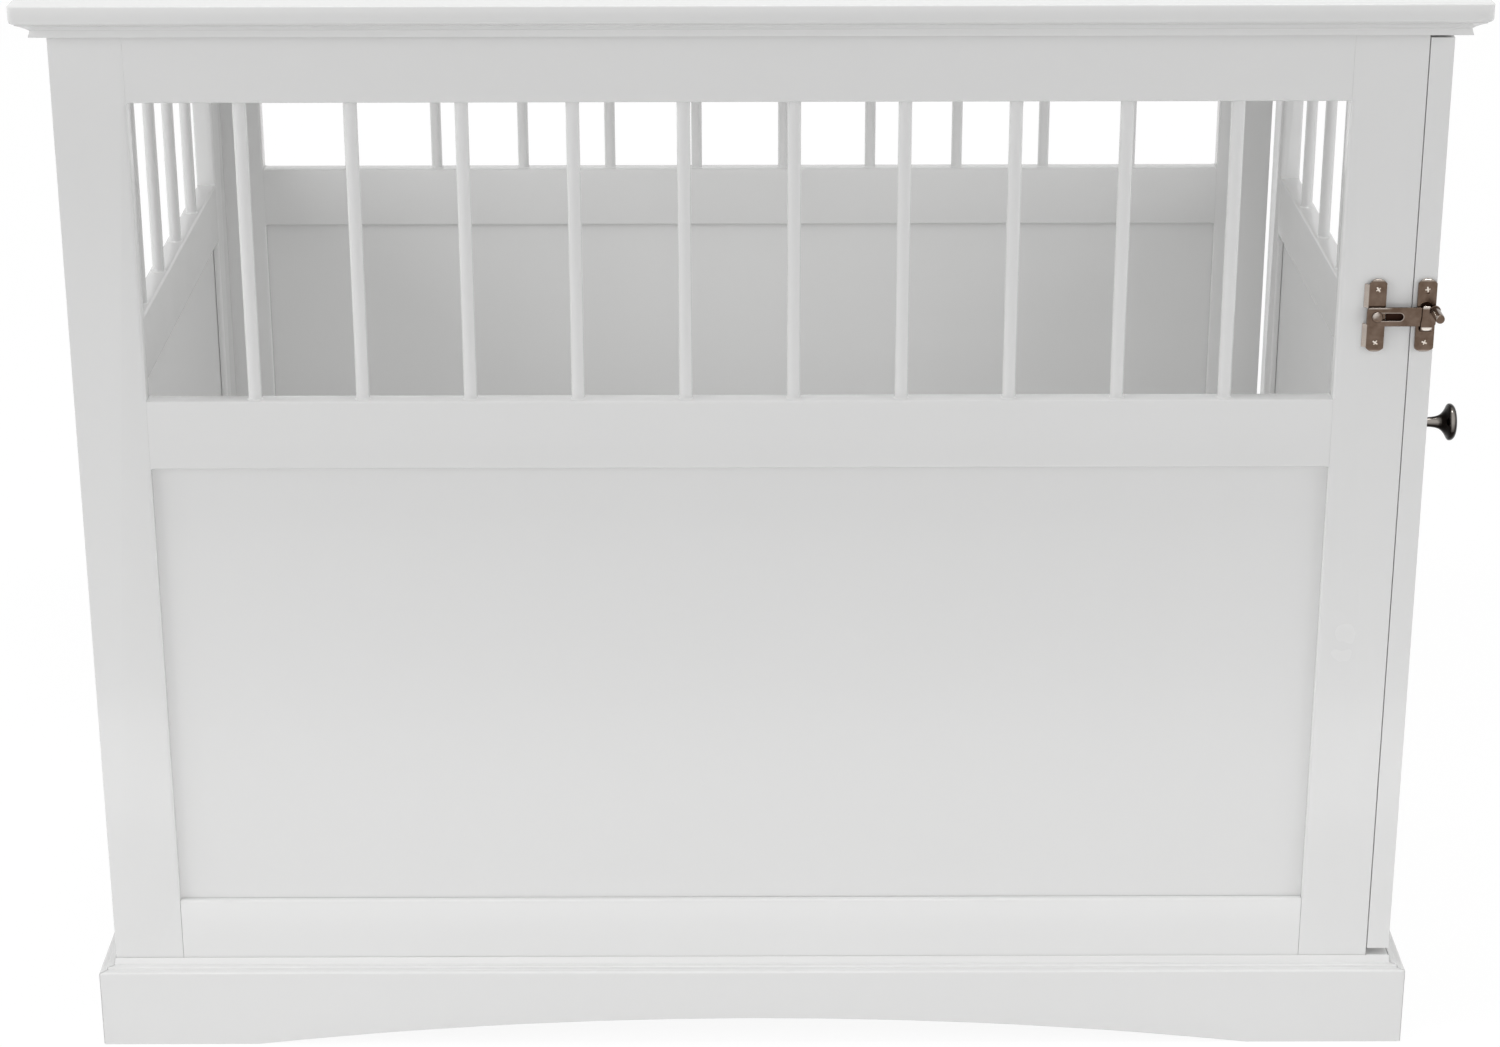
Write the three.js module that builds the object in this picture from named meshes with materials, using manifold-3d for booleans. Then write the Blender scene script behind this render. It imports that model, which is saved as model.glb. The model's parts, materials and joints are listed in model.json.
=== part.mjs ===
// A crate end table: a painted board cabinet with barred windows on all four sides, a side-hung
// door at its right end, a swing-bar latch across the door's front edge, a coved moulding under
// the top and an arched plinth. Millimetres, X to the right, Y away from the viewer, Z up.
import * as THREE from "three";
import { mergeVertices } from "three/addons/utils/BufferGeometryUtils.js";
import Module from "manifold-3d";

const wasm = await Module();
wasm.setup();

// ---- Driving dimensions ----

// The whole
const tableHeight = 738;
const bodyWidth = 887; // left face to the door's outer face
const bodyDepth = 600; // front face to back face
const fit = 0.3; // glue line or gap between pieces that meet
const runningFit = 0.08; // round a shaft that turns in its hole
const cutPast = 2; // how far a cutter runs past the face that it cuts

// Tabletop
const topThickness = 12;
const topOverhang = 20;
const topUpperEase = 1;
const topLowerEase = 2.4;
const topCornerRadius = 4;

// Framed sides
const boardThickness = 15;
const stileWidth = 47;
const topRailHeight = 54.7;
const midRailHeight = 47;
const windowHeight = 199.8;
const railShowAbovePlinth = 43.5;
const railFoot = 24; // underside of the bottom rails, behind the plinth
const edgeEase = 2; // rounded edge round each window and panel opening
const openingCorner = 2.5;
const tenonLength = 12;
const tenonThickness = 5;
const tenonShoulder = 10;

// Panels
const panelThickness = 5;
const panelRecess = 5;
const panelGroove = 8;

// Bars
const barRadius = 4;
const barSocket = 10;
const longSideBars = 10;
const shortSideBars = 5;

// Door
const doorGap = 2.5; // above the door
const doorLift = 5; // below the door
const doorSeam = 0.7; // between the door's inner face and the ends of the frames
const hingeGap = 5; // between the door and the rebated end of the back frame

// Moulding under the top
const corniceHeight = 11;
const corniceProud = 13.5;
const corniceFoot = 6;
const corniceFillet = 1.6;

// Plinth
const plinthHeight = 63;
const plinthProud = 10.5;
const plinthFaceHeight = 56;
const plinthBeadRise = 1.9;
const plinthBeadProud = 5.7;
const plinthNeck = 1.5;
const plinthEase = 1.1;
const footLength = 108;
const archRise = 19.5;

// Floor and battens
const floorThickness = 9;
const battenSize = 20;

// Hinges
const hingeHeight = 50;
const hingeInset = 70; // from the door's end to the hinge
const leafWidth = 25;
const leafThickness = 2;
const knuckles = 5;
const knuckleRadius = 3.2;
const hingePinRadius = 1.5;
const pinHeadRadius = 2.5;
const pinHeadHeight = 1.4;

// Knob
const knobRadius = 12.5;
const knobReach = 24;
const knobScrewRadius = 1.9;
const knobScrewGrip = 12;
const knobScrewHeadRadius = 4.2;
const knobScrewHeadHeight = 2.2;
// from rim to crown: shares of the head's radius and height
const knobScrewHeadProfile = [
  [1, 0.35],
  [0.6, 0.86],
  [0, 1],
];
// from foot to crown: radius as a share of the knob's, distance as a share of its reach
const knobProfile = [
  [0.42, 0.04],
  [0.27, 0.11],
  [0.27, 0.26],
  [0.32, 0.44],
  [0.43, 0.57],
  [0.68, 0.68],
  [0.95, 0.755],
  [1, 0.81],
  [0.97, 0.88],
  [0.8, 0.955],
  [0.42, 0.99],
];

// Latch
const latchLevel = 529.8;
const latchToFrameEnd = 22.6; // rivet to the end of the front frame
const strikeHeight = 50;
const strikeWidth = 11.2;
const strikeThickness = 1.2;
const strikeStandOff = 1.6; // the folded edges hold the plates off the wood
const strikeEndRise = 3; // height of the rounded ends
const strikeRoll = 4.5; // length of each end that rolls back to the wood
const strikeLipReach = 3.2;
const strikeLipLow = 5.4;
const strikeLipHigh = 21.3;
const strikeScrewOffset = 18;
const strikeScrewRadius = 1.7;
const swingBarHeight = 12.6;
const swingBarThickness = 2;
const swingBarGap = 0.6;
const swingBarTail = 6.8;
const swingBarReach = 38.1; // rivet to the bar's free end
const swingBarCorner = 2;
const slotTravel = 14.4;
const rivetRadius = 2.4;
const rivetHeadRadius = 3.7;
const rivetHeadHeight = 1.7;
// from rim to crown: shares of the head's radius and height
const rivetHeadProfile = [
  [1, 0],
  [0.92, 0.45],
  [0.6, 0.85],
  [0, 1],
];
const rivetTailRadius = 3.4;
const rivetTailHeight = 1;
const fingerPinRadius = 3.2;
const fingerPinLength = 17.5;
const fingerPinStem = 1.6;
const fingerPinRise = 3.8;
// the rounded free end: shares of the pin's radius and length
const fingerPinEnd = [
  [1, 0.93],
  [0.86, 0.985],
  [0.6, 1],
  [0, 1],
];
const fingerPinInset = 0.9; // from the bar's free end
const fingerPinEar = 0.6; // metal round the pin at the bar's corner
const keeperWidth = 12.4;
const keeperInset = 0.15; // from the door's outer face
const tongueGap = 0.6; // in front of the bar
const tongueRootHalf = 3.8;
const tongueShoulder = 4.2; // below the bar's middle, where the tongue narrows
const tongueTipLeft = 3.2;
const tongueTipRight = 1.7; // cut in, clear of the finger pin
const tongueTipCorner = 1.6;
const tongueLip = 1.5;
const tongueRootDrop = 3.6; // from the bar's lower edge to the fold
const keeperWindowRise = 3; // above the bar

// Roundness
const barSides = 12;
const metalSides = 24;
const easeSteps = 3;
const coveSteps = 8;
const archSteps = 26;

// ---- Levels and places that follow ----

const frameTop = tableHeight - topThickness;
const panelBottom = plinthHeight + railShowAbovePlinth;
const windowTop = frameTop - topRailHeight;
const midRailTop = windowTop - windowHeight;
const midRailBottom = midRailTop - midRailHeight;
const thresholdTop = plinthHeight;
const doorBottom = thresholdTop + doorLift;
const corniceBottom = frameTop - corniceHeight;
const doorTop = corniceBottom - doorGap;
const headerBottom = doorTop + doorGap / 2;
const bodyLeft = -bodyWidth / 2;
const bodyRight = bodyWidth / 2;
const doorInner = bodyRight - boardThickness;
const frameEnd = doorInner - doorSeam;
const frameLength = frameEnd - bodyLeft;
const hingeFace = doorInner - hingeGap;
const hingeAxisX = doorInner - hingeGap / 2;
const hingeAxisY = bodyDepth + knuckleRadius + fit;
const knobLevel = (midRailBottom + midRailTop) / 2;
const knobTip = bodyRight + knobReach;
const rivetX = frameEnd - latchToFrameEnd;
const strikeFront = strikeStandOff + strikeThickness;
const swingBarBack = strikeFront + swingBarGap;
const swingBarFront = swingBarBack + swingBarThickness;
const fingerPinTip = swingBarFront + fit + fingerPinLength;
const keeperX = bodyRight - keeperInset - keeperWidth / 2;

// The origin stands under the middle of the whole, knob and finger pin included.
const reachRight = Math.max(bodyRight + topOverhang, knobTip);
const reachFront = Math.max(topOverhang, fingerPinTip);
const originX = (reachRight + bodyLeft - topOverhang) / 2;
const originY = (bodyDepth + topOverhang - reachFront) / 2;

// ---- Finishes ----

const whitePaint = () => new THREE.MeshStandardMaterial({
  color: 0xe9e9e7,
  roughness: 0.45,
  metalness: 0,
});
const innerPaint = () => new THREE.MeshStandardMaterial({
  color: 0xe2e2e0,
  roughness: 0.6,
  metalness: 0,
});
const agedBronze = () => new THREE.MeshStandardMaterial({
  color: 0x5f4a3d,
  roughness: 0.3,
  metalness: 0.9,
});
const darkBronze = () => new THREE.MeshStandardMaterial({
  color: 0x16120f,
  roughness: 0.35,
  metalness: 0.8,
});
const plainSteel = () => new THREE.MeshStandardMaterial({
  color: 0xa8a8a6,
  roughness: 0.35,
  metalness: 0.9,
});

// ---- Solids ----

// A closed geometry as a solid. An outline drawn the other way round gives faces that point
// inwards, so they are turned.
function solid(geometry) {
  const bare = geometry.clone();
  bare.deleteAttribute("normal");
  bare.deleteAttribute("uv");
  const merged = mergeVertices(bare, 1e-4);
  const index = merged.index.array;
  const faces = [];
  for (let i = 0; i < index.length; i += 3) {
    const [a, b, c] = [index[i], index[i + 1], index[i + 2]];
    if (a !== b && b !== c && c !== a) faces.push(a, b, c);
  }
  const make = (list) => new wasm.Manifold(new wasm.Mesh({
    numProp: 3,
    vertProperties: merged.attributes.position.array,
    triVerts: new Uint32Array(list),
  }));
  const made = make(faces);
  return made.volume() < 0 ? make(faces.reverse()) : made;
}

function mesh(name, shape, material) {
  const { vertProperties, triVerts } = shape.getMesh();
  const geometry = new THREE.BufferGeometry();
  geometry.setAttribute("position", new THREE.BufferAttribute(vertProperties, 3));
  geometry.setIndex(new THREE.BufferAttribute(triVerts, 1));
  geometry.computeVertexNormals();
  const made = new THREE.Mesh(geometry, material);
  made.name = name;
  return made;
}

function block([x0, x1], [y0, y1], [z0, z1]) {
  const geometry = new THREE.BoxGeometry(1, 1, 1);
  const corners = geometry.attributes.position;
  for (let i = 0; i < corners.count; i += 1) {
    const x = corners.getX(i) < 0 ? x0 : x1;
    const y = corners.getY(i) < 0 ? y0 : y1;
    const z = corners.getZ(i) < 0 ? z0 : z1;
    corners.setXYZ(i, x, y, z);
  }
  return solid(geometry);
}

// An upright round bar from z0 to z1.
function uprightRod(radius, [x, y], [z0, z1], sides) {
  const geometry = new THREE.CylinderGeometry(radius, radius, z1 - z0, sides);
  geometry.rotateX(Math.PI / 2);
  geometry.translate(x, y, (z0 + z1) / 2);
  return solid(geometry);
}

// A round bar along Y, from y0 to y1.
function levelRod(radius, [x, z], [y0, y1], sides) {
  const geometry = new THREE.CylinderGeometry(radius, radius, y1 - y0, sides);
  geometry.translate(x, (y0 + y1) / 2, z);
  return solid(geometry);
}

// A turned piece: the profile gives radius and distance along the axis, which is then laid
// along -Y, towards the viewer.
function turned(profile, sides) {
  const geometry = new THREE.LatheGeometry(profile.map(([r, y]) => new THREE.Vector2(r, y)), sides);
  geometry.rotateZ(Math.PI);
  return solid(geometry);
}

// A flat outline in X and Z, given its thickness along Y.
function sheet(outline, [y0, y1]) {
  const geometry = new THREE.ExtrudeGeometry(outline, {
    depth: y1 - y0,
    bevelEnabled: false,
    curveSegments: easeSteps * 3,
  });
  geometry.rotateX(Math.PI / 2);
  geometry.translate(0, y1, 0);
  return solid(geometry);
}

// A bent strip of even thickness, from x0 to x1. Its centre line runs through points that give
// how far it stands in front of the wood, and its height.
function bentStrip(points, thickness, [x0, x1]) {
  const offset = (sign) => points.map((p, i) => {
    const before = points[Math.max(i - 1, 0)];
    const after = points[Math.min(i + 1, points.length - 1)];
    const along = after.clone().sub(before).normalize();
    return new THREE.Vector2(-along.y, along.x).multiplyScalar(sign * thickness / 2).add(p);
  });
  const outline = new THREE.Shape([...offset(1), ...offset(-1).reverse()]);
  const geometry = new THREE.ExtrudeGeometry(outline, { depth: x1 - x0, bevelEnabled: false });
  const forward = new THREE.Vector3(0, -1, 0);
  const upward = new THREE.Vector3(0, 0, 1);
  const sideways = new THREE.Vector3(1, 0, 0);
  geometry.applyMatrix4(new THREE.Matrix4().makeBasis(forward, upward, sideways));
  geometry.translate(x0, 0, 0);
  return solid(geometry);
}

// Rings of points, each the same outline moved or resized, joined into a closed solid.
function loft(outline, rings) {
  const count = outline.length;
  const points = rings.flat().flatMap((p) => [p.x, p.y, p.z]);
  const faces = [];
  for (let ring = 0; ring + 1 < rings.length; ring += 1) {
    for (let i = 0; i < count; i += 1) {
      const a = ring * count + i;
      const b = ring * count + ((i + 1) % count);
      faces.push(a, b, b + count, a, b + count, a + count);
    }
  }
  const last = (rings.length - 1) * count;
  const clockwise = THREE.ShapeUtils.isClockWise(outline);
  for (const cap of THREE.ShapeUtils.triangulateShape(outline, [])) {
    const [a, b, c] = clockwise ? cap.reverse() : cap;
    faces.push(a, c, b, last + a, last + b, last + c);
  }
  const geometry = new THREE.BufferGeometry();
  geometry.setAttribute("position", new THREE.Float32BufferAttribute(points, 3));
  geometry.setIndex(faces);
  return solid(geometry);
}

// A rectangle with rounded corners, as points in order.
function roundedRectangle([x0, x1], [y0, y1], radius) {
  const corners = [
    [x1 - radius, y1 - radius, 0],
    [x0 + radius, y1 - radius, 1],
    [x0 + radius, y0 + radius, 2],
    [x1 - radius, y0 + radius, 3],
  ];
  return corners.flatMap(([x, y, quarter]) => {
    const points = [];
    for (let step = 0; step <= easeSteps; step += 1) {
      const angle = (quarter + step / easeSteps) * Math.PI / 2;
      points.push(new THREE.Vector2(x + radius * Math.cos(angle), y + radius * Math.sin(angle)));
    }
    return points;
  });
}

// Inset and depth of each step of a rounded edge, from the face inwards.
function roundedEdge(radius) {
  const steps = [];
  for (let step = 0; step <= easeSteps; step += 1) {
    const angle = (step / easeSteps) * Math.PI / 2;
    steps.push([radius * (1 - Math.sin(angle)), radius * (1 - Math.cos(angle))]);
  }
  return steps;
}

// ---- Tabletop ----

function tabletop() {
  const reachX = bodyWidth / 2 + topOverhang;
  const rows = [
    ...roundedEdge(topLowerEase).map(([inset, rise]) => [inset, frameTop + rise]),
    ...roundedEdge(topUpperEase).map(([inset, drop]) => [inset, tableHeight - drop]).reverse(),
  ];
  const ring = (inset) => roundedRectangle(
    [-reachX + inset, reachX - inset],
    [-topOverhang + inset, bodyDepth + topOverhang - inset],
    topCornerRadius,
  );
  const rings = rows.map(([inset, z]) => ring(inset).map((p) => new THREE.Vector3(p.x, p.y, z)));
  return mesh("tabletop", loft(ring(0), rings), whitePaint());
}

// ---- Framed sides: two stiles, three rails, a recessed panel and a row of bars ----
// Drawn with the outer face at y = 0 and the side's own width along x.

// The routed opening in a frame, with the rounded edges of both faces.
function openingCutter([x0, x1], [z0, z1]) {
  const near = roundedEdge(edgeEase);
  const far = near.map(([grow, depth]) => [grow, boardThickness - depth]).reverse();
  const rows = [[edgeEase, -cutPast], ...near, ...far, [edgeEase, boardThickness + cutPast]];
  const ring = (grow) => roundedRectangle(
    [x0 - grow, x1 + grow],
    [z0 - grow, z1 + grow],
    openingCorner + grow,
  );
  const rings = rows.map(([grow, y]) => ring(grow).map((p) => new THREE.Vector3(p.x, y, p.y)));
  return loft(ring(0), rings);
}

function framedSide(side) {
  const { name, width, bottom, foot, top, bars, material } = side;
  const inner = [stileWidth, width - stileWidth];
  const thick = [0, boardThickness];
  const middle = boardThickness / 2;
  const pitch = (inner[1] - inner[0]) / (bars + 1);
  const barPlaces = Array.from({ length: bars }, (_, i) => inner[0] + pitch * (i + 1));

  const panelY = [panelRecess, panelRecess + panelThickness];
  const grooveY = [panelRecess - fit, panelRecess + panelThickness + fit];
  const grooveX = [inner[0] - panelGroove, inner[1] + panelGroove];
  const grooveZ = [panelBottom - panelGroove, midRailBottom + panelGroove];
  const groove = block(grooveX, grooveY, grooveZ);
  const windowCut = openingCutter(inner, [midRailTop, windowTop]);
  const panelCut = openingCutter(inner, [panelBottom, midRailBottom]);
  const routed = (board) => board.subtract(windowCut).subtract(panelCut);

  const railSpans = {
    top_rail: [windowTop, top],
    mid_rail: [midRailBottom, midRailTop],
    bottom_rail: [foot, panelBottom],
  };
  const tenonY = [middle - tenonThickness / 2, middle + tenonThickness / 2];
  const tenonOf = ([z0, z1], gap) => block(
    [inner[0] - tenonLength - gap, inner[1] + tenonLength + gap],
    [tenonY[0] - gap, tenonY[1] + gap],
    [z0 + tenonShoulder - gap, z1 - tenonShoulder + gap],
  );
  const corner = inner.map((x, i) => (i === 0 ? x - edgeEase : x + edgeEase));
  const rail = (span) => routed(block(corner, thick, span))
    .intersect(block(inner, thick, span))
    .add(tenonOf(span, 0))
    .subtract(groove);

  const stile = (span) => {
    let board = routed(block(span, thick, [bottom, top])).subtract(groove);
    for (const railSpan of Object.values(railSpans)) {
      board = board.subtract(tenonOf(railSpan, fit));
    }
    return board;
  };
  let firstStile = stile([0, inner[0]]);
  for (const cutter of side.firstStileCuts ?? []) firstStile = firstStile.subtract(cutter);

  let topRail = rail(railSpans.top_rail);
  let midRail = rail(railSpans.mid_rail);
  for (const x of barPlaces) {
    const socket = [windowTop - cutPast, windowTop + barSocket];
    const length = [midRailTop - panelGroove, windowTop + barSocket - fit];
    topRail = topRail.subtract(uprightRod(barRadius + fit, [x, middle], socket, barSides));
    midRail = midRail.add(uprightRod(barRadius, [x, middle], length, barSides));
  }

  const panel = block(
    [grooveX[0] + fit, grooveX[1] - fit],
    panelY,
    [grooveZ[0] + fit, grooveZ[1] - fit],
  );

  const group = new THREE.Group();
  group.add(mesh(`${name}_${side.stiles[0]}_stile`, firstStile, material()));
  group.add(mesh(`${name}_${side.stiles[1]}_stile`, stile([inner[1], width]), material()));
  group.add(mesh(`${name}_top_rail`, topRail, material()));
  group.add(mesh(`${name}_barred_rail`, midRail, material()));
  group.add(mesh(`${name}_bottom_rail`, rail(railSpans.bottom_rail), material()));
  group.add(mesh(`${name}_panel`, panel, material()));
  return group;
}

function frontSide() {
  const group = framedSide({
    name: "front",
    stiles: ["left", "right"],
    width: frameLength,
    bottom: 0,
    foot: railFoot,
    top: frameTop,
    bars: longSideBars,
    material: whitePaint,
  });
  group.position.set(bodyLeft, 0, 0);
  return group;
}

// The back's stile on the door side is rebated, which leaves room for the hinge leaves.
function backSide() {
  const rebate = block(
    [-cutPast, frameEnd - hingeFace],
    [-cutPast, boardThickness + cutPast],
    [thresholdTop, headerBottom],
  );
  const group = framedSide({
    name: "back",
    stiles: ["right", "left"],
    width: frameLength,
    bottom: 0,
    foot: railFoot,
    top: frameTop,
    bars: longSideBars,
    material: whitePaint,
    firstStileCuts: [rebate],
  });
  group.position.set(frameEnd, bodyDepth, 0);
  group.rotation.z = Math.PI;
  return group;
}

// The left end stands between the front and the back.
function leftSide() {
  const group = framedSide({
    name: "left",
    stiles: ["back", "front"],
    width: bodyDepth - 2 * (boardThickness + fit),
    bottom: 0,
    foot: railFoot,
    top: frameTop,
    bars: shortSideBars,
    material: whitePaint,
  });
  group.position.set(bodyLeft, bodyDepth - boardThickness - fit, 0);
  group.rotation.z = -Math.PI / 2;
  return group;
}

function door() {
  const bore = levelRod(
    knobScrewRadius + fit,
    [stileWidth / 2, knobLevel],
    [-cutPast, boardThickness + cutPast],
    metalSides,
  );
  const group = framedSide({
    name: "door",
    stiles: ["front", "back"],
    width: bodyDepth,
    bottom: doorBottom,
    foot: doorBottom,
    top: doorTop,
    bars: shortSideBars,
    material: whitePaint,
    firstStileCuts: [bore],
  });
  group.add(knob());
  group.add(knobScrew());
  group.position.set(bodyRight, 0, 0);
  group.rotation.z = Math.PI / 2;
  return group;
}

// ---- Knob ----

// A trumpet-shaped knob: a small foot, a thin neck that flares out and a low crown, bored from
// behind for its screw.
function knob() {
  const bore = knobScrewRadius + fit / 2;
  const turnedLine = new THREE.SplineCurve(
    knobProfile.map(([radius, reach]) => new THREE.Vector2(radius * knobRadius, reach * knobReach)),
  );
  const profile = [
    [0, knobScrewGrip + fit],
    [bore, knobScrewGrip + fit],
    [bore, fit],
    [knobProfile[0][0] * knobRadius, fit],
    ...turnedLine.getPoints(knobProfile.length * 2).map((p) => [p.x, p.y]),
    [0, knobReach],
  ];
  const made = mesh("door_knob", turned(profile, metalSides), darkBronze());
  made.position.set(stileWidth / 2, 0, knobLevel);
  return made;
}

// The screw's domed head bears on the inner face of the stile, and its end is in the knob.
function knobScrew() {
  const headFace = -boardThickness - fit;
  const crown = knobScrewHeadProfile.map(([radius, height]) => (
    [knobScrewHeadRadius * radius, headFace - knobScrewHeadHeight * height]
  ));
  const profile = [
    ...crown.reverse(),
    [knobScrewHeadRadius, headFace],
    [knobScrewRadius, headFace],
    [knobScrewRadius, knobScrewGrip],
    [0, knobScrewGrip],
  ];
  const made = mesh("door_knob_screw", turned(profile, metalSides), plainSteel());
  made.position.set(stileWidth / 2, 0, knobLevel);
  return made;
}

// ---- Mouldings that run round the body, mitred at the corners ----

// The profile gives how far each point stands proud of the body, and its height.
function mitredLength(profile, faceLength) {
  const half = faceLength / 2 - fit / 2;
  const outline = profile.map(([proud, z]) => new THREE.Vector2(proud, z));
  const ring = (end) => profile.map(([proud, z]) => (
    new THREE.Vector3(end * (half + proud), -proud - fit, z)
  ));
  return loft(outline, [ring(-1), ring(1)]);
}

function roundTheBody(name, shapeOf, material) {
  const group = new THREE.Group();
  const sides = [
    ["front", bodyWidth, 0, 0, 0],
    ["right", bodyDepth, bodyRight, bodyDepth / 2, Math.PI / 2],
    ["back", bodyWidth, 0, bodyDepth, Math.PI],
    ["left", bodyDepth, bodyLeft, bodyDepth / 2, -Math.PI / 2],
  ];
  for (const [side, length, x, y, turn] of sides) {
    const board = mesh(`${name}_${side}`, shapeOf(length), material());
    board.position.set(x, y, 0);
    board.rotation.z = turn;
    group.add(board);
  }
  return group;
}

// A cove that springs from a small flat foot and runs out to the top of the moulding.
function corniceProfile() {
  const springing = corniceBottom + corniceFillet;
  const cove = new THREE.QuadraticBezierCurve(
    new THREE.Vector2(corniceFoot, springing),
    new THREE.Vector2(corniceFoot + corniceFillet, frameTop - corniceFillet),
    new THREE.Vector2(corniceProud, frameTop),
  );
  return [
    [0, frameTop],
    [0, corniceBottom],
    [corniceFoot, corniceBottom],
    ...cove.getPoints(coveSteps).map((p) => [p.x, p.y]),
  ];
}

function cornice() {
  const profile = corniceProfile();
  return roundTheBody("cornice", (length) => mitredLength(profile, length), whitePaint);
}

// Quarter round on an outer upper corner of a profile, from the top inwards to the face.
function easedCorner(proud, z, radius) {
  return roundedEdge(radius).map(([inset, drop]) => [proud - inset, z - drop]);
}

// Face, step, bead and neck, up to where the plinth meets the body.
function plinthProfile() {
  const stepZ = plinthFaceHeight;
  const beadZ = stepZ + plinthBeadRise;
  return [
    [0, plinthHeight],
    [plinthNeck / 2, plinthHeight],
    [plinthNeck, beadZ],
    ...easedCorner(plinthBeadProud, beadZ, plinthEase / 2),
    [plinthBeadProud, stepZ],
    ...easedCorner(plinthProud, stepZ, plinthEase),
    [plinthProud, 0],
    [0, 0],
  ];
}

// The arch is one arc of a circle between the two feet.
function archCutter(faceLength) {
  const halfSpan = faceLength / 2 + plinthProud - footLength;
  const radius = (halfSpan ** 2 + archRise ** 2) / (2 * archRise);
  const halfAngle = Math.asin(halfSpan / radius);
  const points = [new THREE.Vector2(halfSpan, -cutPast), new THREE.Vector2(-halfSpan, -cutPast)];
  for (let step = 0; step <= archSteps; step += 1) {
    const angle = halfAngle * (2 * step / archSteps - 1);
    const x = radius * Math.sin(angle);
    points.push(new THREE.Vector2(x, archRise - radius * (1 - Math.cos(angle))));
  }
  return sheet(new THREE.Shape(points), [-plinthProud - fit - cutPast, cutPast]);
}

function plinth() {
  const profile = plinthProfile();
  const board = (length) => mitredLength(profile, length).subtract(archCutter(length));
  return roundTheBody("plinth", board, whitePaint);
}

// ---- Inside: floor, the battens that carry floor and top, and the doorway's two boards ----

function insideBoards() {
  const group = new THREE.Group();
  const innerX = [bodyLeft + boardThickness + fit, frameEnd - fit];
  const innerY = [boardThickness + fit, bodyDepth - boardThickness - fit];
  const floorBottom = thresholdTop - floorThickness;
  const floor = block(innerX, innerY, [floorBottom, thresholdTop]);
  group.add(mesh("floor_panel", floor, innerPaint()));

  const battenRows = {
    front: [innerY[0], innerY[0] + battenSize],
    back: [innerY[1] - battenSize, innerY[1]],
  };
  for (const [side, rowY] of Object.entries(battenRows)) {
    const cleat = block(innerX, rowY, [floorBottom - battenSize, floorBottom]);
    const batten = block(innerX, rowY, [frameTop - battenSize, frameTop]);
    group.add(mesh(`floor_cleat_${side}`, cleat, innerPaint()));
    group.add(mesh(`top_batten_${side}`, batten, innerPaint()));
  }

  const doorwayX = [frameEnd + fit, bodyRight];
  const doorwayY = [0, bodyDepth];
  const header = block(doorwayX, doorwayY, [headerBottom, frameTop]);
  const threshold = block(doorwayX, doorwayY, [railFoot, thresholdTop]);
  group.add(mesh("doorway_header", header, whitePaint()));
  group.add(mesh("doorway_threshold", threshold, whitePaint()));
  return group;
}

// ---- Hinges ----

// One leaf with its share of the knuckles. `towards` is -1 for the frame's leaf and 1 for the
// door's, and `first` is the lowest knuckle that belongs to it.
function hingeLeaf(towards, first, z0) {
  const knuckle = hingeHeight / knuckles;
  const near = towards * (hingeGap / 2 - fit - leafThickness);
  const far = towards * (hingeGap / 2 - fit);
  const plateX = [Math.min(near, far), Math.max(near, far)];
  const axis = [0, 0];
  let leaf = block(plateX, [-leafWidth, 0], [z0, z0 + hingeHeight]);
  for (let i = 0; i < knuckles; i += 1) {
    const low = z0 + i * knuckle;
    const own = i % 2 === first;
    const inset = own ? fit / 2 : -fit / 2;
    const span = [low + inset, low + knuckle - inset];
    const barrel = uprightRod(own ? knuckleRadius : knuckleRadius + fit, axis, span, metalSides);
    leaf = own ? leaf.add(barrel) : leaf.subtract(barrel);
  }
  const bore = [z0 - cutPast, z0 + hingeHeight + cutPast];
  return leaf.subtract(uprightRod(hingePinRadius + runningFit, axis, bore, metalSides));
}

function hingePin(z0) {
  const top = z0 + hingeHeight + fit;
  const shank = uprightRod(hingePinRadius, [0, 0], [z0 - fit, top], metalSides);
  const head = uprightRod(pinHeadRadius, [0, 0], [top, top + pinHeadHeight], metalSides);
  const tail = uprightRod(pinHeadRadius, [0, 0], [z0 - fit - pinHeadHeight, z0 - fit], metalSides);
  return shank.add(head).add(tail);
}

function hinges() {
  const group = new THREE.Group();
  const rows = {
    lower: doorBottom + hingeInset,
    upper: doorTop - hingeInset - hingeHeight,
  };
  for (const [place, z0] of Object.entries(rows)) {
    group.add(mesh(`${place}_hinge_frame_leaf`, hingeLeaf(-1, 0, z0), agedBronze()));
    group.add(mesh(`${place}_hinge_door_leaf`, hingeLeaf(1, 1, z0), agedBronze()));
    group.add(mesh(`${place}_hinge_pin`, hingePin(z0), agedBronze()));
  }
  group.position.set(hingeAxisX, hingeAxisY, 0);
  return group;
}

// ---- Latch: a slotted bar that swings on a rivet and drops behind the keeper's tongue ----
// Drawn round the rivet, with the wood's face at y = 0 and the latch in front of it.

// An upright plate's outline, with shallow round ends.
function strikeOutline(width) {
  const half = width / 2;
  const shoulder = strikeHeight / 2 - strikeEndRise;
  const outline = new THREE.Shape();
  outline.moveTo(-half, -shoulder);
  outline.quadraticCurveTo(0, -shoulder - 2 * strikeEndRise, half, -shoulder);
  outline.lineTo(half, shoulder);
  outline.quadraticCurveTo(0, shoulder + 2 * strikeEndRise, -half, shoulder);
  outline.closePath();
  return outline;
}

// The flat of a plate, whose two ends roll back to the wood.
function strikeWeb(width) {
  const level = strikeStandOff + strikeThickness / 2;
  const end = strikeHeight / 2;
  const roll = new THREE.QuadraticBezierCurve(
    new THREE.Vector2(level, end - strikeRoll),
    new THREE.Vector2(level, end - strikeThickness),
    new THREE.Vector2(fit + strikeThickness / 4, end - strikeThickness / 2),
  );
  const upper = roll.getPoints(easeSteps);
  const lower = upper.map((p) => new THREE.Vector2(p.x, -p.y)).reverse();
  const strip = bentStrip([...lower, ...upper], strikeThickness, [-width / 2, width / 2]);
  return strip.intersect(sheet(strikeOutline(width), [-strikeFront, -fit]));
}

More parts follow.
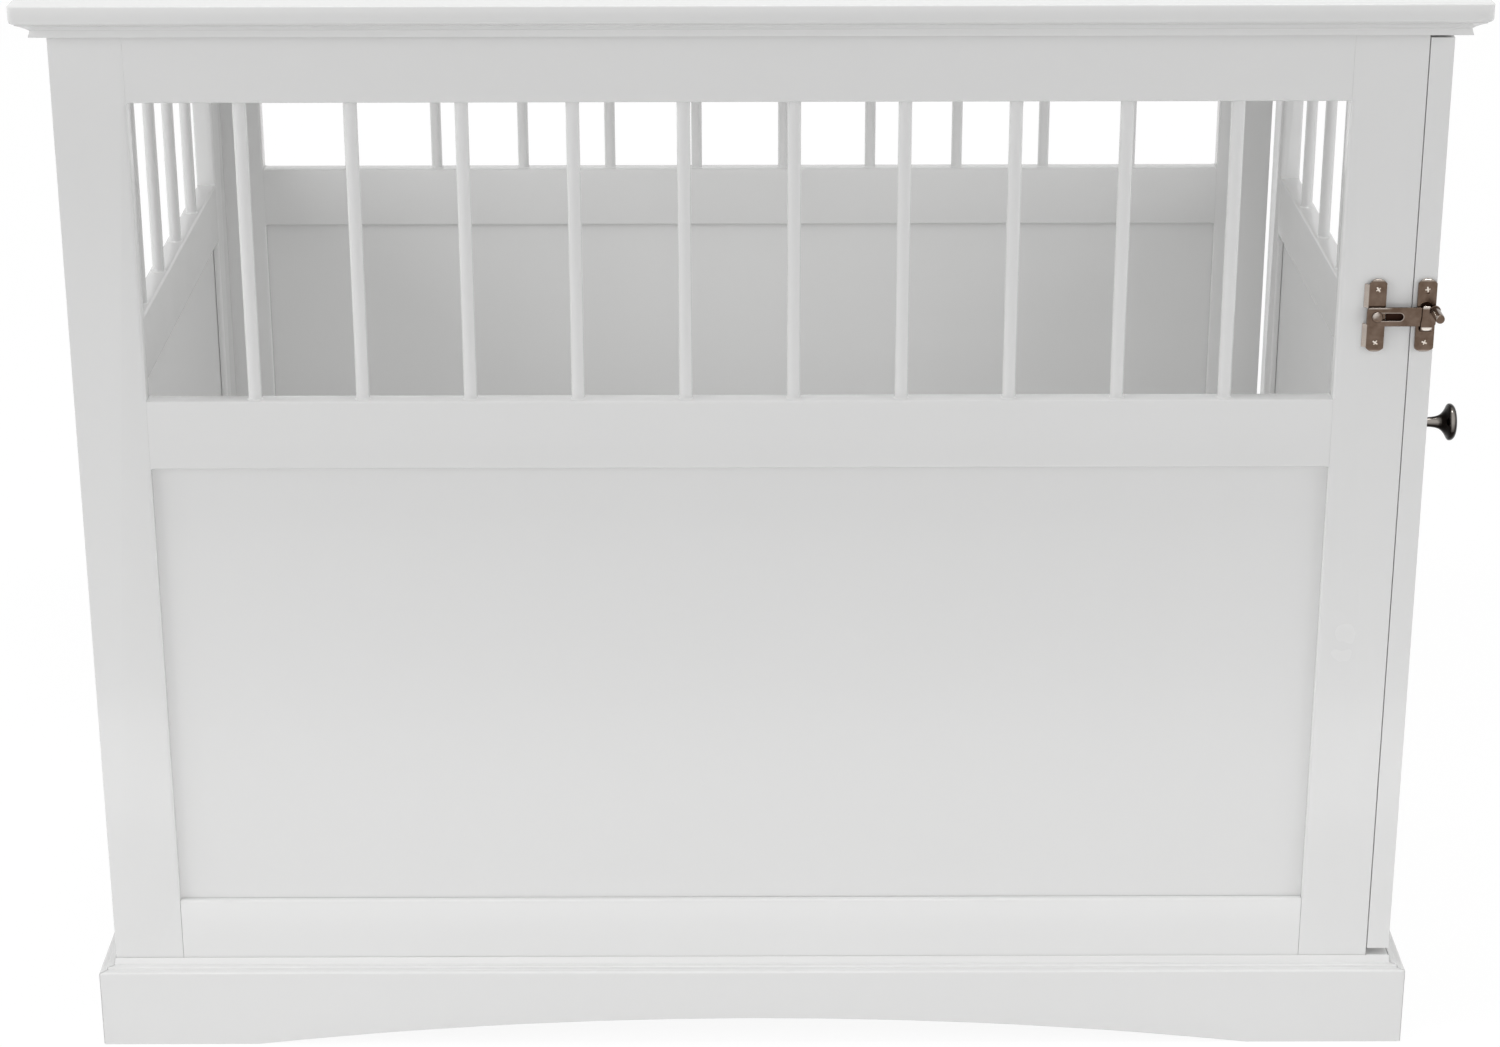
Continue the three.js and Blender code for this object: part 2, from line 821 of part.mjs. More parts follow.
// A plate with its folded edges, which stand on the wood above and below the middle.
// `spread` is how far each edge leans out, left then right.
function strikePlate(width, spread) {
  const half = width / 2;
  let plate = strikeWeb(width);
  [-1, 1].forEach((side, i) => {
    const foot = half + spread[i];
    const edge = new THREE.Shape([
      new THREE.Vector2(side * half, -strikeFront),
      new THREE.Vector2(side * foot, -fit),
      new THREE.Vector2(side * (foot - strikeThickness), -fit),
      new THREE.Vector2(side * (half - strikeThickness), -strikeStandOff),
      new THREE.Vector2(side * (half - strikeThickness), -strikeFront),
    ]);
    const depth = strikeLipHigh - strikeLipLow;
    for (const low of [-strikeLipHigh, strikeLipLow]) {
      const lip = new THREE.ExtrudeGeometry(edge, { depth, bevelEnabled: false });
      lip.translate(0, 0, low);
      plate = plate.add(solid(lip));
    }
  });
  const bore = [-strikeFront - cutPast, 0];
  for (const z of [-strikeScrewOffset, strikeScrewOffset]) {
    plate = plate.subtract(levelRod(strikeScrewRadius, [0, z], bore, metalSides));
  }
  return plate;
}

function basePlate() {
  const bore = [-strikeFront - cutPast, 0];
  const hole = levelRod(rivetRadius + runningFit, [0, 0], bore, metalSides);
  return strikePlate(strikeWidth, [strikeLipReach, 0]).subtract(hole);
}

// Peened behind the plate, with its domed head in front of the bar.
function latchRivet() {
  const tail = strikeStandOff - fit;
  const head = swingBarFront + fit;
  const profile = [
    [0, tail - rivetTailHeight],
    [rivetTailRadius, tail - rivetTailHeight],
    [rivetTailRadius, tail],
    [rivetRadius, tail],
    [rivetRadius, head],
    ...rivetHeadProfile.map(([radius, height]) => (
      [rivetHeadRadius * radius, head + rivetHeadHeight * height]
    )),
  ];
  return turned(profile, metalSides);
}

function swingBar() {
  const half = swingBarHeight / 2;
  const depth = [-swingBarFront, -swingBarBack];
  const pinX = swingBarReach - fingerPinInset;
  const body = new THREE.Shape(roundedRectangle(
    [-swingBarTail, swingBarReach],
    [-half, half],
    swingBarCorner,
  ));
  const earRadius = fingerPinRadius + fingerPinEar;
  const ear = levelRod(earRadius, [pinX, fingerPinRise], depth, metalSides);
  const slotRadius = rivetRadius + runningFit;
  const through = [-swingBarFront - cutPast, -swingBarBack + cutPast];
  const slot = block([0, slotTravel], through, [-slotRadius, slotRadius])
    .add(levelRod(slotRadius, [0, 0], through, metalSides))
    .add(levelRod(slotRadius, [slotTravel, 0], through, metalSides));
  const stemHole = levelRod(fingerPinStem + fit / 2, [pinX, fingerPinRise], through, metalSides);
  return sheet(body, depth).add(ear).subtract(slot).subtract(stemHole);
}

function fingerPin() {
  const root = swingBarFront + fit;
  const profile = [
    [0, swingBarBack],
    [fingerPinStem, swingBarBack],
    [fingerPinStem, root],
    [fingerPinRadius, root],
    ...fingerPinEnd.map(([radius, reach]) => (
      [fingerPinRadius * radius, root + fingerPinLength * reach]
    )),
  ];
  return turned(profile, metalSides);
}

// The tongue's face: wide at the fold, cut in on the pin's side, with a rounded tip.
function tongueOutline(fold, tip) {
  const outline = new THREE.Shape();
  outline.moveTo(-tongueRootHalf, fold);
  outline.lineTo(tongueRootHalf, fold);
  outline.lineTo(tongueRootHalf, -tongueShoulder);
  outline.lineTo(tongueTipRight, 0);
  outline.lineTo(tongueTipRight, tip - tongueTipCorner);
  outline.quadraticCurveTo(tongueTipRight, tip, tongueTipRight - tongueTipCorner, tip);
  outline.lineTo(-tongueTipLeft + tongueTipCorner, tip);
  outline.quadraticCurveTo(-tongueTipLeft, tip, -tongueTipLeft, tip - tongueTipCorner);
  outline.lineTo(-tongueTipLeft, 0);
  outline.lineTo(-tongueRootHalf, -tongueShoulder);
  outline.closePath();
  return outline;
}

// The keeper's tongue is cut from its own plate and folded up in front of the bar: out at the
// foot, up past the bar, and out again in a small lip that leads the bar in.
function keeperPlate() {
  const high = swingBarHeight / 2;
  const fold = -high - tongueRootDrop;
  const rootLevel = strikeStandOff + strikeThickness / 2;
  const level = swingBarFront + tongueGap + strikeThickness / 2;
  const start = new THREE.Vector2(rootLevel, fold - strikeThickness);
  const root = new THREE.Vector2(rootLevel, fold);
  const lipEnd = new THREE.Vector2(level + tongueLip, high + tongueLip);
  const sweep = new THREE.CubicBezierCurve(
    root,
    root,
    new THREE.Vector2(level, fold),
    new THREE.Vector2(level, -high),
  );
  const lip = new THREE.QuadraticBezierCurve(
    new THREE.Vector2(level, high - tongueLip),
    new THREE.Vector2(level, high + tongueLip / 2),
    lipEnd,
  );
  const line = [start, ...sweep.getPoints(coveSteps), ...lip.getPoints(easeSteps)];
  const across = [-tongueRootHalf, tongueRootHalf];
  const face = sheet(
    tongueOutline(fold - cutPast, lipEnd.y + strikeThickness / 2),
    [-level - tongueLip - cutPast, 0],
  );
  const tongue = bentStrip(line, strikeThickness, across).intersect(face);

  const windowRadius = tongueRootHalf + fit;
  const windowCentre = high + keeperWindowRise - windowRadius;
  const windowDepth = [-strikeFront - cutPast, 0];
  const window = block([-windowRadius, windowRadius], windowDepth, [fold, windowCentre])
    .add(levelRod(windowRadius, [0, windowCentre], windowDepth, metalSides));
  return strikePlate(keeperWidth, [0, 0]).subtract(window).add(tongue);
}

function latch() {
  const group = new THREE.Group();
  group.add(mesh("latch_base_plate", basePlate(), agedBronze()));
  group.add(mesh("latch_rivet", latchRivet(), agedBronze()));
  group.add(mesh("latch_swing_bar", swingBar(), agedBronze()));
  const pin = mesh("latch_finger_pin", fingerPin(), agedBronze());
  pin.position.set(swingBarReach - fingerPinInset, 0, fingerPinRise);
  group.add(pin);
  const keeper = mesh("latch_keeper", keeperPlate(), agedBronze());
  keeper.position.set(keeperX - rivetX, 0, 0);
  group.add(keeper);
  group.position.set(rivetX, 0, latchLevel);
  return group;
}

// ---- The whole ----

const table = new THREE.Group();
table.add(tabletop());
table.add(cornice());
table.add(frontSide());
table.add(backSide());
table.add(leftSide());
table.add(door());
table.add(insideBoards());
table.add(plinth());
table.add(hinges());
table.add(latch());
table.position.set(-originX, -originY, 0);

const part = new THREE.Group();
part.add(table);

export default part;
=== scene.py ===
"""White crate end table: painted boards, rows of round bars, a coved top, an arched plinth and
a brown nickel latch.

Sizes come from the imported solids. Boards are copies of them with softened edges. The bars, the
coved moulding and the screws are grown by Geometry Nodes, the latch's plates are remeshed finely
so that their folds come out round, and every finish is a tree of shader nodes.
Metres, X to the right, Y away from the viewer, Z up.
"""

import json
import math

import bmesh
import bpy
from mathutils import Matrix, Vector

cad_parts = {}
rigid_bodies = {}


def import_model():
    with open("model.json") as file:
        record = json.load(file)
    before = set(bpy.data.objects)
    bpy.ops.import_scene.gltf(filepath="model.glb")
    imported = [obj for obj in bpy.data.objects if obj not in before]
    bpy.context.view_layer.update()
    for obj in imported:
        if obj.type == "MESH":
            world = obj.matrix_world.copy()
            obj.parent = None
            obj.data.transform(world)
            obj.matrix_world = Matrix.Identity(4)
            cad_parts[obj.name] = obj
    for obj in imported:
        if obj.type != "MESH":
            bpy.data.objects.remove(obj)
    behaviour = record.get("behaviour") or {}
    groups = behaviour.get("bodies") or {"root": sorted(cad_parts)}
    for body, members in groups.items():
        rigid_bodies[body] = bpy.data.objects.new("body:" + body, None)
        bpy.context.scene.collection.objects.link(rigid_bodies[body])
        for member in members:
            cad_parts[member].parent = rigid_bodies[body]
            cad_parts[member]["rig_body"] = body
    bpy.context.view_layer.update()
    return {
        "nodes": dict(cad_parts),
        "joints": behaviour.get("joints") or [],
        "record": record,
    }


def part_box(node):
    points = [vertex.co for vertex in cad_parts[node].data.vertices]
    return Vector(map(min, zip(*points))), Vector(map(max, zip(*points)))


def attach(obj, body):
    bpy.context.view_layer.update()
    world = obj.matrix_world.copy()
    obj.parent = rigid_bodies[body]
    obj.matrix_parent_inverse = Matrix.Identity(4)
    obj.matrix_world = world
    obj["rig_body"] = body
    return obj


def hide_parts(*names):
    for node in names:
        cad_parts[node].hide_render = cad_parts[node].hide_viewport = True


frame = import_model()
scene = bpy.context.scene

MM = 0.001

# ---- Sizes of the dressed pieces ----

BOARD_EDGE = 0.5 * MM
SEAM_EDGE = 1.1 * MM
JOINT = 0.22 * MM
STRIP_DEPTH = 1.6 * MM
STRIP_WIDTH = 4 * MM
STRIP_CLEARANCE = 0.15 * MM
STRIP_EDGE = 0.15 * MM
METAL_EDGE = 0.2 * MM
MOULDING_EDGE = 0.15 * MM
SHARP_CORNER = math.radians(35)
BEVELLED_CORNER = math.radians(40)
CREASED_CORNER = math.radians(50)
CREASE = 0.85
FLAT = math.radians(0.5)
WELD = 0.004 * MM
ON_AXIS = 0.001 * MM

BESIDE_THE_SEAM = ("front_right_stile", "door_front_stile")
MIDDLE_RAIL = 47 * MM
BAR_RADIUS = 4.35 * MM
BAR_SIDES = 40
BAR_FOOT = 0.9 * MM
BARS = {"front": 10, "back": 10, "left": 5, "door": 5}
BAR_CUT = 0.5 * MM

# the moulding's section: out from the body, and up from its foot
FILLET_FOOT = Vector((9.4 * MM, 1.1 * MM))
FILLET_TOP = Vector((8.2 * MM, 5.3 * MM))
NOSE_REACH = 2.6 * MM
NOSE_HEIGHT = 0.8 * MM
COVE_HOLLOW = 0.5 * MM
COVE_STEPS = 12

# the latch's plates and bar, and the near-black guide and box put behind its slot and window as
# painted shade
PLATE_VOXEL = 0.24 * MM
PLATE_SMOOTHING = 5
PLATE_HALF = 5.6 * MM
PLATE_THICKNESS = 1.2 * MM
ROLLED_FROM = 23 * MM
LEAF_CLEARANCE = 0.3 * MM
GUIDE_HALF = 3.6 * MM
GUIDE_REACH = 18.5 * MM
SLOT_TRAVEL = 14.4 * MM
SLOT_HALF = 2.6 * MM
BAR_HALF = 6.3 * MM
WINDOW_HALF = 4.6 * MM
WINDOW_ABOVE = 3.6 * MM
WINDOW_BELOW = 3.8 * MM
FOLD_HALF = 3.4 * MM
FOLD_HEIGHT = 2.9 * MM
SHADE_BOX_BACK = 0.4 * MM

# how strong each painted highlight on the latch's metal is, 0 to 1 (along the bar's upper edge it
# is partly real rub), and where each begins and ends
ROLL_HIGHLIGHT = 0.4
ROLL_RAMP = 0.8 * MM
LIP_HIGHLIGHT = 0.4
LIP_RAMP = (0.1 * MM, 0.4 * MM)
SLOT_HIGHLIGHT = 0.35
SLOT_RAMP = (0.25 * MM, 0.6 * MM)
EDGE_HIGHLIGHT_AND_RUB = 0.45
EDGE_RAMP = (1.1 * MM, 0.5 * MM)
FRONT_RAMP = (0.5, 0.9)
FRONTISH_RAMP = (0, 0.4)
EDGE_FADE = 4 * MM
TIP_HIGHLIGHT = 0.8
TIP_RAMP = 0.3 * MM
TONGUE_RAMP = (0.2 * MM, 0.6 * MM)
FOLD_RAMP = (0.85, 1.1)
STREAK_RAMP = (0.75, 0.95)
# painted highlight streaks: the way the lit side of each turned fitting faces, and how strong the
# streak is
HIGHLIGHT_STREAKS = {
    "door_knob": (Vector((0, -0.8, 0.45)), 0.4),
    "latch_finger_pin": (Vector((-0.8, -0.3, 0.5)), 0.8),
    "latch_rivet": (Vector((-0.4, -0.8, 0.5)), 0.6),
}

# turned fittings: how freely triangles are joined in pairs, and how round they are made
PAIRED_FLAT = 0.6
PAIRED_SHAPE = 1.2
ROUNDED_TIMES = 2

# screws: half widths, the foot as a share of the head, and (dome, sink) of each kind
SCREW_HEAD = 3 * MM
SCREW_CROSS = 2.65 * MM
SCREW_SLOT = 1.15 * MM
SCREW_RECESS = 0.4 * MM
SCREW_SIDES = 40
SCREW_FOOT = 0.45
SCREW_RIM = 0.12 * MM
SCREW_DOME_STEPS = 6
CROSS_TAPER = (0.85, 0.6)
CROSS_TOP = 2 * MM
INTO_RECESS = 0.02 * MM
RAISED_SCREW = (0.45 * MM, 1.4 * MM)
FLAT_SCREW = (0.08 * MM, 1.2 * MM)
LATCH_TURNS = 11
HINGE_TURNS = 5
STRIKE_SCREW_OFFSET = 18 * MM
HINGE_SCREW_ROWS = (-17 * MM, 0.0, 17 * MM)
HINGE_SCREW_INSET = (8 * MM, 15 * MM)

hinge_axis = next(j["pos_m"][0] for j in frame["joints"] if j["name"] == "door_swing")
HINGE_SCREW_RIM = LEAF_CLEARANCE + 0.2 * MM

# ---- Colours, in linear light ----

LACQUER = (0.82, 0.82, 0.817, 1)
LACQUER_DEEP = (0.805, 0.805, 0.8, 1)
INSIDE_WHITE = (0.84, 0.84, 0.835, 1)
INSIDE_SHADE = (0.81, 0.81, 0.805, 1)
NICKEL_BROWN = (0.115, 0.075, 0.052, 1)
NICKEL_LIGHT = (0.175, 0.125, 0.095, 1)
# the light colour of the painted highlights on the latch's metal and the knob, and of the few
# truly rubbed places
NICKEL_HIGHLIGHT_AND_RUB = (0.78, 0.72, 0.66, 1)
BLACK_BRONZE = (0.005, 0.0035, 0.003, 1)
BRONZE_RUB = (0.012, 0.008, 0.006, 1)
# near-black brown painted as shade on the guide and box seen through the latch's slot and window
SHADE_UMBER = (0.022, 0.009, 0.005, 1)
SHADE_UMBER_LIGHT = (0.036, 0.016, 0.01, 1)
ZINC = (0.5, 0.5, 0.49, 1)
ZINC_DULL = (0.36, 0.36, 0.35, 1)
WHITE = (1, 1, 1, 1)


# ---- Node trees ----

FLOAT = "NodeSocketFloat"
INTEGER = "NodeSocketInt"
VECTOR = "NodeSocketVector"
GEOMETRY = "NodeSocketGeometry"
MATERIAL = "NodeSocketMaterial"
OBJECT = "NodeSocketObject"
# the attribute that holds the strength of the painted highlights, and of a little real rub, on
# metal pieces
HIGHLIGHT_AND_WEAR = "Wear"


def node(tree, kind, settings=None, feeds=None):
    """A node with its settings. Each input is fed by a number, a name or another node's output."""
    made = tree.nodes.new(kind)
    for key, value in (settings or {}).items():
        setattr(made, key, value)
    for key, feed in (feeds or {}).items():
        if isinstance(feed, bpy.types.NodeSocket):
            tree.links.new(feed, made.inputs[key])
        else:
            made.inputs[key].default_value = feed
    return made


def new_group(kind, name, inputs, outputs):
    """A group with typed sockets: inputs as {name: (type, default)}, outputs as {name: type}."""
    tree = bpy.data.node_groups.new(name, kind)
    for label, (socket_type, default) in inputs.items():
        socket = tree.interface.new_socket(label, in_out="INPUT", socket_type=socket_type)
        if default is not None:
            socket.default_value = default
    for label, socket_type in outputs.items():
        tree.interface.new_socket(label, in_out="OUTPUT", socket_type=socket_type)
    start = tree.nodes.new("NodeGroupInput")
    end = tree.nodes.new("NodeGroupOutput")
    return tree, start.outputs, end.inputs


def maths(tree, operation, *values):
    feeds = dict(enumerate(values))
    return node(tree, "ShaderNodeMath", {"operation": operation}, feeds).outputs[0]


def noise(tree, place, scale, detail=2.0, roughness=0.5):
    feeds = {"Vector": place, "Scale": scale, "Detail": detail, "Roughness": roughness}
    return node(tree, "ShaderNodeTexNoise", {}, feeds).outputs["Fac"]


def sprayed_coat():
    """Orange peel, slow changes of gloss and a faint mottle, as a sprayed coat dries."""
    tree, given, put = new_group(
        "ShaderNodeTree",
        "Sprayed coat",
        {
            "Peel size": (FLOAT, 0.0016),
            "Gloss": (FLOAT, 0.4),
            "Gloss spread": (FLOAT, 0.1),
            "Mottle size": (FLOAT, 0.12),
        },
        {"Height": FLOAT, "Roughness": FLOAT, "Mottle": FLOAT},
    )
    place = node(tree, "ShaderNodeTexCoord").outputs["Object"]
    peel_scale = maths(tree, "DIVIDE", 1.0, given["Peel size"])
    peel = noise(tree, place, peel_scale, 1.0, 0.4)
    dust = noise(tree, place, maths(tree, "MULTIPLY", peel_scale, 5.0), 2.0, 0.6)
    height = maths(tree, "MULTIPLY_ADD", dust, 0.12, peel)
    mottle_scale = maths(tree, "DIVIDE", 1.0, given["Mottle size"])
    mottle = noise(tree, place, mottle_scale, 4.0, 0.55)
    swing = maths(tree, "SUBTRACT", mottle, 0.5)
    tree.links.new(height, put["Height"])
    roughness = maths(tree, "MULTIPLY_ADD", swing, given["Gloss spread"], given["Gloss"])
    tree.links.new(roughness, put["Roughness"])
    tree.links.new(mottle, put["Mottle"])
    return tree


def handled_metal():
    """Cloudy tarnish, fine rubbing marks and pinprick pits, for plated and bronzed fittings."""
    tree, given, put = new_group(
        "ShaderNodeTree",
        "Handled metal",
        {
            "Cloud size": (FLOAT, 0.006),
            "Rub size": (FLOAT, 0.0008),
            "Gloss": (FLOAT, 0.2),
            "Gloss spread": (FLOAT, 0.2),
        },
        {"Height": FLOAT, "Roughness": FLOAT, "Tarnish": FLOAT},
    )
    place = node(tree, "ShaderNodeTexCoord").outputs["Object"]
    cloud = noise(tree, place, maths(tree, "DIVIDE", 1.0, given["Cloud size"]), 5.0, 0.6)
    rub_scale = maths(tree, "DIVIDE", 1.0, given["Rub size"])
    stretched = node(tree, "ShaderNodeMapping", {}, {"Vector": place, "Scale": (1.0, 1.0, 0.12)})
    rub_and_shine = noise(tree, stretched.outputs[0], rub_scale, 3.0, 0.65)
    pits = noise(tree, place, maths(tree, "MULTIPLY", rub_scale, 1.7), 1.0, 0.5)
    pit_depth = node(tree, "ShaderNodeMapRange", {}, {0: pits, 1: 0.2, 2: 0.32}).outputs[0]
    tree.links.new(maths(tree, "MULTIPLY_ADD", rub_and_shine, 0.25, pit_depth), put["Height"])
    swing = maths(tree, "SUBTRACT", maths(tree, "ADD", cloud, rub_and_shine), 1.0)
    roughness = maths(tree, "MULTIPLY_ADD", swing, given["Gloss spread"], given["Gloss"])
    tree.links.new(roughness, put["Roughness"])
    sharper = node(tree, "ShaderNodeMapRange", {}, {0: cloud, 1: 0.35, 2: 0.65}).outputs[0]
    tree.links.new(sharper, put["Tarnish"])
    return tree


def finish(name, group, values, mask, colours, bump, principled, highlight_and_rub=None):
    """A material whose Principled BSDF takes its changes over the surface from a shader group.

    Where it has a rubbed colour, a piece's own attribute says where that colour shows: mostly as a
    painted highlight, partly as real rub.
    """
    made = bpy.data.materials.new(name)
    made.use_nodes = True
    tree = made.node_tree
    tree.nodes.clear()
    source = node(tree, "ShaderNodeGroup", {"node_tree": group}, values).outputs
    colour = node(
        tree,
        "ShaderNodeMix",
        {"data_type": "RGBA"},
        {0: source[mask], 6: colours[0], 7: colours[1]},
    ).outputs[2]
    # painted highlights, and a little real rub, are mixed in where the piece's attribute says
    if highlight_and_rub:
        highlight_and_wear = node(tree, "ShaderNodeAttribute", {"attribute_name": HIGHLIGHT_AND_WEAR}).outputs["Fac"]
        colour = node(
            tree, "ShaderNodeMix", {"data_type": "RGBA"}, {0: highlight_and_wear, 6: colour, 7: highlight_and_rub}
        ).outputs[2]
    strength, distance = bump
    relief = node(
        tree,
        "ShaderNodeBump",
        {},
        {"Strength": strength, "Distance": distance, "Height": source["Height"]},
    ).outputs[0]
    shader = node(
        tree,
        "ShaderNodeBsdfPrincipled",
        {},
        {"Base Color": colour, "Roughness": source["Roughness"], "Normal": relief, **principled},
    )
    node(tree, "ShaderNodeOutputMaterial", {}, {"Surface": shader.outputs[0]})
    made.diffuse_color = colours[0]
    return made


def finishes():
    coat = sprayed_coat()
    metal = handled_metal()
    return {
        "boards": finish(
            "White lacquer on boards",
            coat,
            {"Peel size": 1.5 * MM, "Gloss": 0.24, "Gloss spread": 0.12, "Mottle size": 0.11},
            "Mottle",
            (LACQUER_DEEP, LACQUER),
            (0.2, 0.02 * MM),
            {"IOR": 1.5, "Coat Weight": 0.3, "Coat Roughness": 0.1},
        ),
        "panels": finish(
            "White lacquer on panels",
            coat,
            {"Peel size": 2.4 * MM, "Gloss": 0.33, "Gloss spread": 0.16, "Mottle size": 0.2},
            "Mottle",
            (LACQUER_DEEP, LACQUER),
            (0.3, 0.05 * MM),
            {"IOR": 1.45, "Coat Weight": 0.15, "Coat Roughness": 0.2},
        ),
        "bars": finish(
            "White lacquer on bars",
            coat,
            {"Peel size": 1.2 * MM, "Gloss": 0.22, "Gloss spread": 0.08, "Mottle size": 0.05},
            "Mottle",
            (LACQUER_DEEP, LACQUER),
            (0.12, 0.015 * MM),
            {"IOR": 1.5, "Coat Weight": 0.4, "Coat Roughness": 0.08},
        ),
        "inside": finish(
            "Matt white inside",
            coat,
            {"Peel size": 2.8 * MM, "Gloss": 0.62, "Gloss spread": 0.12, "Mottle size": 0.09},
            "Mottle",
            (INSIDE_SHADE, INSIDE_WHITE),
            (0.45, 0.06 * MM),
            {"IOR": 1.45},
        ),
        "nickel": finish(
            "Brown nickel plate",
            metal,
            {"Cloud size": 7 * MM, "Rub size": 0.7 * MM, "Gloss": 0.2, "Gloss spread": 0.16},
            "Tarnish",
            (NICKEL_BROWN, NICKEL_LIGHT),
            (0.25, 0.02 * MM),
            {"Metallic": 1.0, "Coat Weight": 0.1, "Coat Roughness": 0.08},
            NICKEL_HIGHLIGHT_AND_RUB,
        ),
        "bronze": finish(
            "Black bronze",
            metal,
            {"Cloud size": 5 * MM, "Rub size": 0.9 * MM, "Gloss": 0.1, "Gloss spread": 0.08},
            "Tarnish",
            (BLACK_BRONZE, BRONZE_RUB),
            (0.12, 0.01 * MM),
            {"Metallic": 1.0, "Coat Weight": 0.06, "Coat Roughness": 0.04},
            NICKEL_HIGHLIGHT_AND_RUB,
        ),
        # a near-black copy of the latch's metal: painted shade for what shows through its slot and
        # window
        "browned": finish(
            "Browned steel in the latch",
            metal,
            {"Cloud size": 4 * MM, "Rub size": 0.6 * MM, "Gloss": 0.5, "Gloss spread": 0.15},
            "Tarnish",
            (SHADE_UMBER, SHADE_UMBER_LIGHT),
            (0.2, 0.02 * MM),
            {"Metallic": 0.8, "Specular IOR Level": 0.2},
        ),
        "zinc": finish(
            "Zinc plated screw",
            metal,
            {"Cloud size": 3 * MM, "Rub size": 0.5 * MM, "Gloss": 0.3, "Gloss spread": 0.2},
            "Tarnish",
            (ZINC_DULL, ZINC),
            (0.3, 0.02 * MM),
            {"Metallic": 1.0},
        ),
    }


# ---- Placing pieces ----

def body_of_node(name):
    return frame["nodes"][name]["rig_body"]


def settle(name, mesh, body, slot, stands_for=()):
    """Turns a finished mesh into a piece that rides on a body and stands for CAD nodes."""
    mesh.name = name
    piece = bpy.data.objects.new(name, mesh)
    scene.collection.objects.link(piece)
    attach(piece, body)
    if stands_for:
        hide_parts(*stands_for)
    return piece


def smooth(mesh, corner=SHARP_CORNER):
    mesh.shade_smooth()
    mesh.set_sharp_from_angle(angle=corner)


def rub_and_shine(mesh, highlight_and_wear_at, domain="POINT"):
    """Writes the strength of the painted highlight, and of any real rub, 0 to 1, at each vertex or
    face of a mesh.
    """
    highlight_and_wear = mesh.attributes.new(HIGHLIGHT_AND_WEAR, "FLOAT", domain)
    if domain == "POINT":
        values = [highlight_and_wear_at(vertex.co, vertex.normal) for vertex in mesh.vertices]
    else:
        values = [highlight_and_wear_at(face.center, face.normal) for face in mesh.polygons]
    highlight_and_wear.data.foreach_set("value", values)


def copied(name):
    """A CAD node's mesh as a bmesh, its loose triangles joined and its flat faces made whole."""
    work = bmesh.new()
    work.from_mesh(frame["nodes"][name].data)
    bmesh.ops.remove_doubles(work, verts=work.verts, dist=WELD)
    bmesh.ops.dissolve_limit(work, angle_limit=FLAT, verts=work.verts, edges=work.edges)
    return work


def as_mesh(work, name, material):
    mesh = bpy.data.meshes.new(name)
    work.to_mesh(mesh)
    work.free()
    mesh.materials.clear()
    mesh.materials.append(material)
    return mesh


def soften(piece, width, segments=2):
    """Rounds the sharp edges of a piece by a small width."""
    bevel = piece.modifiers.new("Softened edges", "BEVEL")
    bevel.width = width
    bevel.segments = segments
    bevel.limit_method = "ANGLE"
    bevel.angle_limit = BEVELLED_CORNER
    bevel.harden_normals = True
    bevel.miter_outer = "MITER_ARC"
    return piece


def open_joints(work, name):
    """Draws both ends of a rail in by a hair, so that its joints with the stiles show."""
    low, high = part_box(name)
    axis = 0 if high.x - low.x > high.y - low.y else 1
    middle = (low[axis] + high[axis]) / 2
    share = 1 - 2 * JOINT / (high[axis] - low[axis])
    for vertex in work.verts:
        vertex.co[axis] = middle + (vertex.co[axis] - middle) * share


def dressed_board(name, material, slot, edge=BOARD_EDGE):
    work = copied(name)
    if name.endswith("_bottom_rail"):
        open_joints(work, name)
    mesh = as_mesh(work, name, material)
    smooth(mesh)
    piece = settle(name + "_painted", mesh, body_of_node(name), slot, [name])
    return soften(piece, edge)


def block(low, high):
    """A closed block between two corners, as a bmesh."""
    work = bmesh.new()
    for vertex in bmesh.ops.create_cube(work, size=1)["verts"]:
        share = vertex.co + Vector((0.5, 0.5, 0.5))
        vertex.co = Vector([low[i] + (high[i] - low[i]) * share[i] for i in range(3)])
    return work


def seam_strip(material, slot):
    """The thin strip along the frame's edge that keeps light out of the seam beside the door."""
    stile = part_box("front_right_stile")
    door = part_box("door_front_stile")
    face = stile[0].y + STRIP_DEPTH
    low = (stile[1].x, face, door[0].z)
    high = (door[0].x - STRIP_CLEARANCE, face + STRIP_WIDTH, door[1].z)
    mesh = as_mesh(block(low, high), "seam_strip", material)
    smooth(mesh)
    return soften(settle("seam_strip", mesh, "cabinet", slot), STRIP_EDGE)


# ---- Geometry Nodes ----

def grown(name, tree, values, base=None):
    """The plain mesh that a tree makes from these named inputs and a base mesh."""
    carrier = bpy.data.objects.new(name, base or bpy.data.meshes.new(name))
    modifier = carrier.modifiers.new(name, "NODES")
    modifier.node_group = tree
    for item in tree.interface.items_tree:
        if item.in_out == "INPUT" and item.name in values:
            modifier[item.identifier] = values[item.name]
    scene.collection.objects.link(carrier)
    evaluated = carrier.evaluated_get(bpy.context.evaluated_depsgraph_get())
    mesh = bpy.data.meshes.new_from_object(evaluated)
    carrier.modifiers.remove(modifier)
    bpy.data.objects.remove(carrier)
    smooth(mesh)
    return mesh


def finish_tree(tree, geometry, material, put):
    """Ends a tree: instances made real, then the material."""
    real = node(tree, "GeometryNodeRealizeInstances", {}, {"Geometry": geometry}).outputs[0]
    painted = node(
        tree, "GeometryNodeSetMaterial", {}, {"Geometry": real, "Material": material}
    )
    tree.links.new(painted.outputs[0], put["Geometry"])


